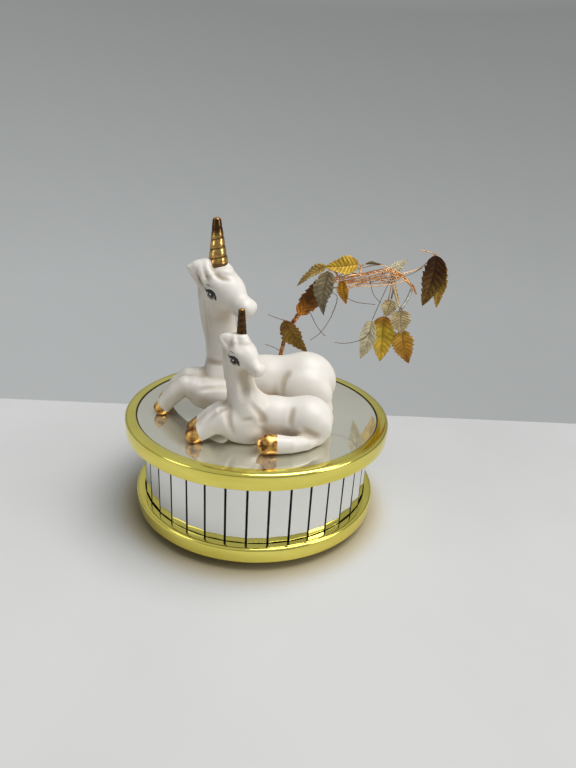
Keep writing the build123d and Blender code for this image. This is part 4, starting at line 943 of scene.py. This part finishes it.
MARE_SHADES = [
    (0.0, 0.9), (0.1, 0.8), (0.14, 0.2), (0.5, 0.15), (0.64, 0.3), (0.72, 0.9), (0.95, 0.95), (1.0, 0.3),
]
FOAL_SHADES = [(0.0, 0.98), (0.5, 0.93), (0.93, 0.96), (1.0, 0.2)]
horn(
    "mare_gilt_horn", "mare_horn", foot=(-20.1, 1.4, 65.6), tip=(-21.0, 1.4, 87.3),
    foot_radius=4.75, tip_radius=1.7, turns=5.5, shades=MARE_SHADES,
)
horn(
    "foal_gilt_horn", "foal_horn", foot=(-6.3, -29.1, 44.2), tip=(-6.5, -29.1, 56.2),
    foot_radius=2.2, tip_radius=1.3, turns=5, shades=FOAL_SHADES,
)


# Wire tree

def frames(path):
    """Two sides of each point of a path that turn as little as they can."""
    way = np.gradient(path, axis=0)
    way /= norm(way, axis=1)[:, None] + 1e-12
    side = np.cross(way[0], (0.3, 1, 0.2))
    across = []
    for w in way:
        side = side - w * (side @ w)
        side /= norm(side)
        across.append(side)
    across = np.array(across)
    return across, np.cross(way, across)


class Bundle:
    """Wires gathered into one mesh."""

    def __init__(self):
        self.verts, self.faces, self.marks = [], [], []

    def wire(self, path, radii, mark=0, edges=7):
        faces = sleeve(len(path) - 1, edges, len(self.verts))
        self.faces += faces
        self.marks += [mark] * len(faces)
        radii = np.broadcast_to(np.asarray(radii, float), len(path))
        for p, r, s, o in zip(path, radii, *frames(path)):
            for k in range(edges):
                t = TURN * k / edges
                self.verts.append(p + (s * cos(t) + o * sin(t)) * r)

    def twist(self, path, strands, gap, radius, pitch, loose, seed):
        """Several wires wound round one path."""
        rng = np.random.default_rng(seed)
        side, other = frames(path)
        run = np.concatenate([[0], np.cumsum(norm(np.diff(path, axis=0), axis=1))])
        for n in range(strands):
            phase = TURN * n / strands + rng.uniform(-0.4, 0.4)
            wander = rng.uniform(0.7, 1.3, 3)
            turn = phase + TURN * run / pitch
            off = gap * (1 + loose * np.sin(run / pitch * wander[0] * 2.1 + phase * wander[1]))
            line = path + (side * np.cos(turn)[:, None] + other * np.sin(turn)[:, None]) * off[:, None]
            self.wire(line, radius)

    def piece(self, name, paints, node):
        """Adds the wires to the scene in place of a node."""
        add_piece(name, self.verts, self.faces, paints, node, "copper_wire", face_marks=self.marks)


def tree_path(points, per):
    """Smooth path through points given above the mirror."""
    return smooth_path([p + ON_MIRROR for p in points], per)


TRUNK = [
    (8.7, 32.9, -5.2), (8.7, 32.9, 8), (8.7, 32.9, 16.5), (11.3, 32.9, 28.5), (17.9, 32.9, 40.5),
    (27.9, 32.9, 53.2),
]
BRANCH = [
    (27.9, 32.9, 53.2), (36.1, 34.4, 57.8), (45.7, 32.9, 60.8), (56.8, 30.7, 63.8), (64.9, 31.4, 62.3),
    (72.3, 32.9, 57), (75.3, 33.6, 52.5),
]
# Rows of twigs give a radius, a material and a path, and rows of fine twigs a material and a path
TRUNK_TWIGS = [
    (0.3, 0, (11.7, 32.9, 29.6), (9.8, 31, 33.4), (9.4, 29.4, 36.4)),
    (0.2, 1, (9.4, 29.4, 36.2), (6, 30, 36.9), (1.2, 30.2, 38.4)),
    (0.3, 0, (14.6, 32.9, 34.5), (16.4, 29.4, 39.2)),
]
BRANCH_TWIGS = [
    (0.3, 0, (36.1, 34.4, 57.8), (32, 31, 62.4), (29.1, 27.1, 62.8)),
    (0.3, 0, (36.1, 34.4, 57.8), (33, 35.8, 62), (29.1, 35.9, 63.8)),
    (0.3, 0, (45.7, 32.9, 60.8), (46.2, 34.3, 63.6), (45.4, 35.1, 65.6)),
    (0.3, 0, (45.7, 32.9, 60.8), (41, 31, 60.5), (37.2, 29.9, 58.6)),
    (0.3, 0, (45.7, 32.9, 60.8), (46.2, 34.6, 64.4), (47.7, 35.1, 65.8)),
    (0.3, 0, (56.8, 30.7, 63.8), (57.2, 33, 64.2), (58.5, 34.4, 63.4)),
    (0.3, 0, (80.2, 34.4, 70.6), (81.6, 33.8, 72.8), (82, 32.9, 72.9)),
    (0.3, 0, (64.9, 31.4, 62.3), (74.5, 33.3, 65.4), (80.2, 34.4, 70.6), (84.2, 34.4, 71.2)),
    (0.3, 0, (62, 31.4, 63), (61.5, 32.2, 52), (60, 32.2, 41.2)),
    (0.3, 0, (62, 31.4, 63), (66.4, 29.8, 48), (69.2, 28.5, 35.5)),
    (0.45, 2, (61.4, 31.2, 62.4), (62.6, 30.2, 56), (62.3, 29.9, 50.4)),
    (0.6, 3, (61.8, 30.6, 59), (64.2, 29.2, 52), (66.4, 27.4, 46.8)),
    (0.75, 2, (72.3, 32.9, 55), (70.2, 30, 50.5), (67.2, 27, 46.2)),
]
FINE_TWIGS = [
    (0, (27.9, 32.9, 53), (44, 30, 55.5), (58, 29, 57), (70, 31, 60)),
    (0, (33, 35, 58), (42, 36, 62), (55, 34, 66), (63, 33, 63)),
    (0, (36, 33, 56), (48, 31, 58.2), (60, 30, 62), (68, 31, 60), (73.8, 33, 55)),
    (0, (30, 32.5, 54.2), (39, 31, 53.6), (48, 30.5, 57.5), (58, 30.5, 62.6)),
    (0, (33, 33.5, 57), (41, 32, 56.4), (50, 31.5, 60.2), (60, 31, 63.4)),
    (0, (38, 34, 57.5), (45, 32.5, 57.2), (53, 31, 59.4), (61, 30.5, 60.4), (66.1, 31, 61),
     (70.2, 32, 57.9), (74.5, 33, 53.3)),
    (1, (35.2, 31, 48.3), (35.2, 29, 46.9), (32.9, 29, 39.2), (28.6, 29, 31.3), (23.4, 29, 26.5)),
    (1, (30, 32.5, 52), (35.5, 32, 49), (33, 29, 39)),
    (1, (40.6, 31.5, 50.5), (40.6, 31, 49.2), (45.7, 31, 47.3), (54.9, 31, 46.7)),
    (1, (50.6, 31, 60), (51.9, 30, 55), (53.6, 30, 51.5), (57.1, 30, 48)),
    (1, (18, 32.5, 41), (21.7, 29, 41.7), (25.8, 29, 35), (29.3, 29, 30.7), (31.2, 29, 29.2)),
    (1, (57, 30, 40), (52, 28, 31.2), (48.6, 28, 28.4), (41.4, 28, 26.3), (35.8, 28, 26.6)),
    (1, (64.9, 31.4, 61.2), (70.7, 32, 62.8), (76.2, 33, 66.1)),
    (0, (73.6, 32, 74.6), (78, 32.6, 73.9), (82, 32.9, 72.9)),
    (1, (62, 31.4, 63), (57.5, 30.5, 50), (54, 29.2, 39.4)),
    (1, (9.3, 32.9, 18), (5, 32, 20.5), (0.4, 31, 22.3)),
]
LOOSE_WIRES = 9
LOOSE_RADIUS = 0.19
LOOSE_ENDS = np.array([(38, 33.5, 57), (66, 31.5, 61.5)])
END_SCATTER = (2.5, 1.2, 1.6)
MIDDLE_SCATTER = (1.5, 1.8, 2.6)
FINE_RADII = (0.24, 0.17)

trunk = Bundle()
path = tree_path(TRUNK, 26)
share = np.linspace(0, 1, len(path))
gap = np.interp(share, [0, 0.5, 1], [0.62, 0.75, 0.95])
trunk.twist(path, 5, gap, radius=0.42, pitch=5.5, loose=0.1, seed=3)
trunk.wire(path, 0.45)
for radius, mark, *twig in TRUNK_TWIGS:
    trunk.wire(tree_path(twig, 12), radius, mark)
trunk.piece("trunk_wire", [TRUNK_WIRE, DARK_WIRE], "tree_trunk")

branch = Bundle()
path = tree_path(BRANCH, 22)
share = np.linspace(0, 1, len(path))
gap = np.interp(share, [0, 0.6, 1], [0.9, 0.75, 0.2])
taper = np.interp(share, [0, 0.75, 1], [0.27, 0.25, 0.14])
branch.twist(path, 4, gap, radius=taper, pitch=11, loose=0.45, seed=5)
for radius, mark, *twig in BRANCH_TWIGS:
    branch.wire(tree_path(twig, 12), radius, mark)
rng = np.random.default_rng(8)
for n in range(LOOSE_WIRES):
    ends = LOOSE_ENDS + rng.uniform(-1, 1, (2, 3)) * END_SCATTER
    spots = [ends[0]]
    for t in (0.25, 0.5, 0.75):
        spots.append(ends[0] + (ends[1] - ends[0]) * t + rng.uniform(-1, 1, 3) * MIDDLE_SCATTER)
    branch.wire(tree_path([*spots, ends[1]], 10), LOOSE_RADIUS, 0, 6)
for mark, *twig in FINE_TWIGS:
    branch.wire(tree_path(twig, 14), FINE_RADII[mark], mark, 6)
branch.piece("branch_wire", [COPPER, DARK_WIRE, LEAF_WIRE, CREAM_WIRE], "tree_branches")


# Foil leaves

# Foil colours: partly the foil's own colours, partly lifted to stand in for its sheen, a painted sheen
LEAF_COLOURS = {
    "olive": ((0.34, 0.165, 0.035), (0.44, 0.26, 0.05), (0.49, 0.29, 0.06)),
    "brown": ((0.8, 0.3, 0.04), (0.185, 0.068, 0.012), (0.125, 0.05, 0.01), 0.5),
    "dark": ((0.05, 0.016, 0.003), (0.066, 0.022, 0.003), (0.34, 0.2, 0.04), 0.55),
    "silver": ((0.36, 0.26, 0.13), (0.41, 0.35, 0.21), (0.32, 0.29, 0.2)),
    "grey": ((0.68, 0.52, 0.26), (0.83, 0.67, 0.37), (0.72, 0.58, 0.32), 0.5),
    "pale": ((0.65, 0.41, 0.09), (0.6, 0.4, 0.11), (0.42, 0.29, 0.1)),
    "gold": ((0.75, 0.33, 0.06), (1.0, 0.74, 0.08), (0.95, 0.57, 0.08)),
    "lemon": ((0.65, 0.36, 0.04), (0.87, 0.57, 0.065), (0.75, 0.48, 0.06)),
    "orange": ((0.68, 0.4, 0.07), (0.85, 0.45, 0.06), (0.58, 0.25, 0.045)),
    "amber": ((0.36, 0.19, 0.035), (0.52, 0.3, 0.05), (0.68, 0.43, 0.08)),
    "copper": ((0.95, 0.4, 0.04), (1.0, 0.52, 0.055), (0.77, 0.32, 0.05)),
    "cream": ((0.97, 0.86, 0.54), (1.0, 0.92, 0.66), (0.94, 0.84, 0.57), 0.45),
}
LEAF_PAINTS = {name: leaf_paint(name + "_foil", *row) for name, row in LEAF_COLOURS.items()}
LEAF_ROWS = 72
LEAF_COLUMNS = 12
LEAF_TEETH = 9
LEAF_THICKNESS = 0.16
STALK_GAP = 0.45
TOOTH_SHIFT = 0.35
RIB_HEIGHT = 0.16
SPINE_DEPTH = 0.35
DENT = 0.05


def leaf(seed, stalk, way, side, length, width, curl=0.12, fold=0.28):
    """Serrated leaf with embossed veins, a little twisted and dented, as points, faces and marks."""
    rng = np.random.default_rng(seed)
    twist = rng.uniform(-0.5, 0.5)
    wave = rng.uniform(2.5, 4.5)
    phase = rng.uniform(0, 6, 3)
    sway = rng.uniform(-0.06, 0.06)
    stalk = stalk + ON_MIRROR
    way = np.asarray(way, float) / norm(way)
    side = np.asarray(side, float)
    side = side - way * (side @ way)
    side /= norm(side)
    up = np.cross(way, side)
    verts, along, vein, faces = [], [], [], []
    for i in range(LEAF_ROWS + 1):
        t = i / LEAF_ROWS
        shape = sin(pi * t ** 0.72) ** 0.8 * (1 - 0.18 * t) + 0.035 * (1 - t)
        c = cos(twist * (t - 0.3))
        s = sin(twist * (t - 0.3))
        spine = stalk + way * (t * length + STALK_GAP) + side * (sway * length * sin(pi * t))
        notch = 0.2 + 0.08 * sin(wave * 5 * t + phase[0])
        for k in range(-LEAF_COLUMNS, LEAF_COLUMNS + 1):
            v = k / LEAF_COLUMNS
            tooth = (t * LEAF_TEETH + (TOOTH_SHIFT if v > 0 else 0)) % 1.0
            edge = shape * (1 - notch * tooth * (0.12 < t < 0.97))
            y = v * edge * width / 2
            rib = cos(TURN * (t * LEAF_TEETH - abs(v) * 1.35))
            lift = fold * abs(y) + RIB_HEIGHT * rib * min(1, abs(v) * 3) * (0.2 + shape)
            lift -= SPINE_DEPTH * exp(-((v / 0.09) ** 2)) * shape
            lift += DENT * width * shape * sin(wave * t * 2.2 + phase[1] + 1.8 * v) * (0.3 + abs(v))
            lift -= curl * length * (t ** 2) * 0.9 - 0.02 * length * sin(3 * t)
            verts.append(spine + side * (y * c - lift * s) + up * (lift * c + y * s))
            along.append(t)
            groove = 0.75 * max(0.0, -rib) ** 3 * min(1, abs(v) * 4)
            vein.append(min(1.0, groove + 0.8 * exp(-((v / 0.06) ** 2))))
    n = 2 * LEAF_COLUMNS + 1
    top = np.array(verts)
    count = len(top)
    last = LEAF_ROWS * n
    for row in range(0, last, n):
        for a in range(row, row + n - 1):
            b = count + a
            faces += [(a, a + 1, a + n + 1, a + n), (b, b + n, b + n + 1, b + 1)]
    edge = [*range(n), *range(2 * n - 1, last + n, n)]
    edge += [*range(last + n - 2, last - 1, -1), *range(last - n, 0, -n)]
    faces += [(b, a, count + a, count + b) for a, b in zip(edge, edge[1:] + edge[:1])]
    return np.concatenate([top, top - up * LEAF_THICKNESS]), faces, along * 2, vein * 2


def leaves(name, node, slot, rows):
    """Leaves of one kind of foil, each with its own paint."""
    verts, faces, along, vein, face_marks = [], [], [], [], []
    paints = list(dict.fromkeys(row[0] for row in rows))
    for paint, *shape in rows:
        v, f, a, e = leaf(*shape)
        faces += [tuple(i + len(verts) for i in face) for face in f]
        face_marks += [paints.index(paint)] * len(f)
        verts += list(v)
        along += a
        vein += e
    marks = {"along": along, "vein": vein}
    add_piece(name, verts, faces, [LEAF_PAINTS[p] for p in paints], node, slot, marks, face_marks)


leaves("gold_foil_leaves", "gold_leaves", "gold_foil", [
    ("olive", 1, (9.4, 29.4, 36.4), (0.57, -0.05, -0.81), (0.75, -0.4, 0.45), 20.6, 12.5),
    ("lemon", 2, (45.3, 35.1, 65.6), (-0.99, -0.07, -0.12), (0.05, -0.5, -0.86), 16.8, 10.5, 0.05),
    ("gold", 3, (60, 32.2, 41.1), (0.06, -0.08, -0.99), (1.0, -0.1, 0.1), 24.4, 14.5),
    ("orange", 4, (69.2, 28.5, 35.3), (0.28, -0.03, -0.96), (0.9, -0.2, 0.4), 18.8, 12),
    ("pale", 5, (29.1, 35.9, 63.8), (-0.82, 0.1, -0.56), (0.3, -0.8, -0.5), 18, 7.5),
    ("amber", 6, (84.2, 34.4, 71.1), (0.1, 0.0, -0.99), (0.95, -0.1, 0.1), 25.3, 9),
])
leaves("copper_foil_leaves", "copper_leaves", "copper_foil", [
    ("brown", 7, (16.4, 29.4, 39.2), (0.49, 0.07, 0.87), (0.9, -0.1, -0.3), 26.4, 11),
    ("copper", 8, (37.2, 29.9, 58.5), (0.19, -0.09, -0.98), (0.8, -0.5, 0.2), 12, 7),
    ("dark", 9, (82, 32.9, 72.8), (-0.13, -0.08, -0.99), (0.95, 0.1, 0.2), 25.4, 13),
])
leaves("silver_foil_leaves", "silver_leaves", "silver_foil", [
    ("silver", 10, (30.2, 27.2, 62.8), (-0.12, -0.12, -0.99), (0.9, -0.4, 0.1), 21.5, 11.5),
    ("cream", 11, (54, 29.2, 39.2), (-0.2, -0.05, -0.97), (0.9, -0.5, 0.0), 21.1, 9.5),
    ("grey", 12, (67.2, 27.0, 46), (0.15, -0.05, -0.99), (0.95, -0.25, 0.1), 12, 11.5, 0.06, 0.12),
    ("cream", 13, (58.5, 34.4, 63.4), (0.88, 0.0, 0.48), (0.3, -0.65, -0.6), 11.4, 6.4),
    ("grey", 14, (62.3, 29.9, 50.3), (-0.2, -0.12, -0.97), (0.95, -0.2, -0.2), 9, 8.5),
    ("silver", 15, (47.7, 35.1, 65.8), (0.99, 0.0, 0.12), (0.0, 0.94, -0.34), 8.8, 4.6),
])


# Stage, light and camera

TABLE_HALF_WIDTH = 1.6
TABLE_NEAR = -1.4
TABLE_FAR = 0.104
TABLE_BEND = 0.003
TABLE_SLANT = 0.04
TABLE_DROP = 0.02
WHITE_TONE = (1.0, 1.0, 1.0)


def table_top():
    """Pale table top whose far edge lies just behind the ornament, painted lighter on the left, with a
    painted warm shadow and gold reflection round the drum.
    """
    outline = [(TABLE_NEAR, 0.0), (-0.2, 0.0), (0.0, 0.0)]
    for t in np.linspace(0, pi / 2, 9):
        y = TABLE_FAR - TABLE_BEND + TABLE_BEND * sin(t)
        outline.append((y, TABLE_BEND * cos(t) - TABLE_BEND))
    outline.append((TABLE_FAR, -TABLE_DROP))
    ends = (-TABLE_HALF_WIDTH, TABLE_HALF_WIDTH)
    verts = [(x, y + TABLE_SLANT * x, z) for y, z in outline for x in ends]
    faces = [(2 * i, 2 * i + 1, 2 * i + 3, 2 * i + 2) for i in range(len(outline) - 1)]
    paint = Paint("table_paint", (0.68, 0.68, 0.675), 0.8)
    # Painted light: the table is lighter on the left and darker on the right
    across = paint.span(paint.split(paint.place)["X"], From_Min=-0.2, From_Max=0.2)
    side_lit_tone = paint.ramp(across, [(0.1, (0.72, 0.72, 0.715)), (0.9, (0.6, 0.6, 0.595))])
    cloud = paint.ramp(paint.noise(5, 4.0), [(0.3, (0.9, 0.9, 0.9)), (0.7, WHITE_TONE)])
    side_lit_tone = paint.mix(1.0, side_lit_tone, cloud, "MULTIPLY")
    away = paint.node("VectorMath", {0: paint.place}, operation="LENGTH").outputs["Value"]
    # Painted shadow and painted gold reflection: a warm, darker ring on the table round the drum's foot
    painted_gold_shadow = paint.ramp(away, [(0.056, (0.82, 0.67, 0.34)), (0.068, WHITE_TONE)])
    paint.put(Base_Color=paint.mix(1.0, side_lit_tone, painted_gold_shadow, "MULTIPLY"))
    top = add_object("table_top", verts, faces, [paint.mat])


table_top()


def lamp(name, place, aim, size, power):
    """Round lamp turned towards a point."""
    data = bpy.data.lights.new(name, "AREA")
    data.shape = "DISK"
    data.size = size
    data.energy = power
    obj = bpy.data.objects.new(name, data)
    obj.location = place
    obj.rotation_euler = (Vector(aim) - Vector(place)).to_track_quat("-Z", "Y").to_euler()
    scene.collection.objects.link(obj)


lamp("key", (0.38, -0.08, 1.25), aim=(0, 0, 0.05), size=1.0, power=12.5)
lamp("left", (-0.7, -0.4, 0.32), aim=(0, 0, 0.08), size=0.36, power=0.5)
lamp("right", (0.8, -0.32, 0.4), aim=(0, 0, 0.08), size=0.45, power=2.0)


def cool(*stops):
    """Stops of a ramp in greys that lean a little to blue."""
    return [(at, (level * 0.985, level, level)) for at, level in stops]


def studio_world():
    """Soft light that leans to the right; the camera and reflections see a grey room with painted shade,
    darker in a band a little above the horizon and dimmer to the right.
    """
    world = bpy.data.worlds.new("studio")
    scene.world = world
    world.use_nodes = True
    sky = Nodes(world.node_tree)
    way = sky.node("TexCoord").outputs["Generated"]
    lean = sky.node("Mapping", {"Rotation": (0, radians(-30), 0), "Vector": way})
    height = sky.split(lean.outputs["Vector"])["Z"]
    light = sky.tree.nodes["Background"]
    sky.feed(light.inputs["Color"], sky.ramp(height, cool((0.05, 0.1), (0.75, 0.98))))
    sky.feed(light.inputs["Strength"], 0.42)

    upright = sky.split(way)
    rise = sky.span(upright["Z"], From_Min=-0.5, From_Max=0.7)
    aside = sky.span(upright["X"], From_Min=-0.4, From_Max=0.4)
    # Painted shade on the room: darker in a band a little above the horizon, and dimmer towards the right
    wall = sky.ramp(rise, cool((0.0, 0.46), (0.25, 0.44), (0.6, 0.27), (0.72, 0.45), (0.9, 0.52)))
    side_shade = sky.ramp(aside, cool((0.0, 1.0), (1.0, 0.9)))
    room = sky.node("Background", {"Color": sky.mix(1.0, wall, side_shade, "MULTIPLY")})

    rays = sky.node("LightPath").outputs
    seen = rays["Is Camera Ray"]
    for kind in ("Is Glossy Ray", "Is Transmission Ray"):
        seen = sky.node("Math", {0: seen, 1: rays[kind]}, operation="MAXIMUM").outputs["Value"]
    shaders = {"Fac": seen, 1: light.outputs["Background"], 2: room.outputs["Background"]}
    choose = sky.node("MixShader", shaders)
    sky.feed(sky.tree.nodes["World Output"].inputs["Surface"], choose.outputs["Shader"])


studio_world()

CAMERA_PLACE = (0.013454, -0.236654, 0.158224)
CAMERA_DIP = 22.17
CAMERA_ROLL = 3.5
SENSOR_WIDTH = 36
FOCAL_PIXELS = 540
PHOTO_HEIGHT = 768

lens = bpy.data.cameras.new("photo_view")
lens.sensor_width = SENSOR_WIDTH
lens.lens = SENSOR_WIDTH * FOCAL_PIXELS / PHOTO_HEIGHT
lens.clip_start = 0.01
camera = bpy.data.objects.new("photo_view", lens)
tilt = Matrix.Rotation(radians(90 - CAMERA_DIP), 4, "X")
roll = Matrix.Rotation(radians(CAMERA_ROLL), 4, "Z")
camera.matrix_world = Matrix.Translation(CAMERA_PLACE) @ tilt @ roll
scene.collection.objects.link(camera)
scene.camera = camera
scene.view_settings.view_transform = "Standard"
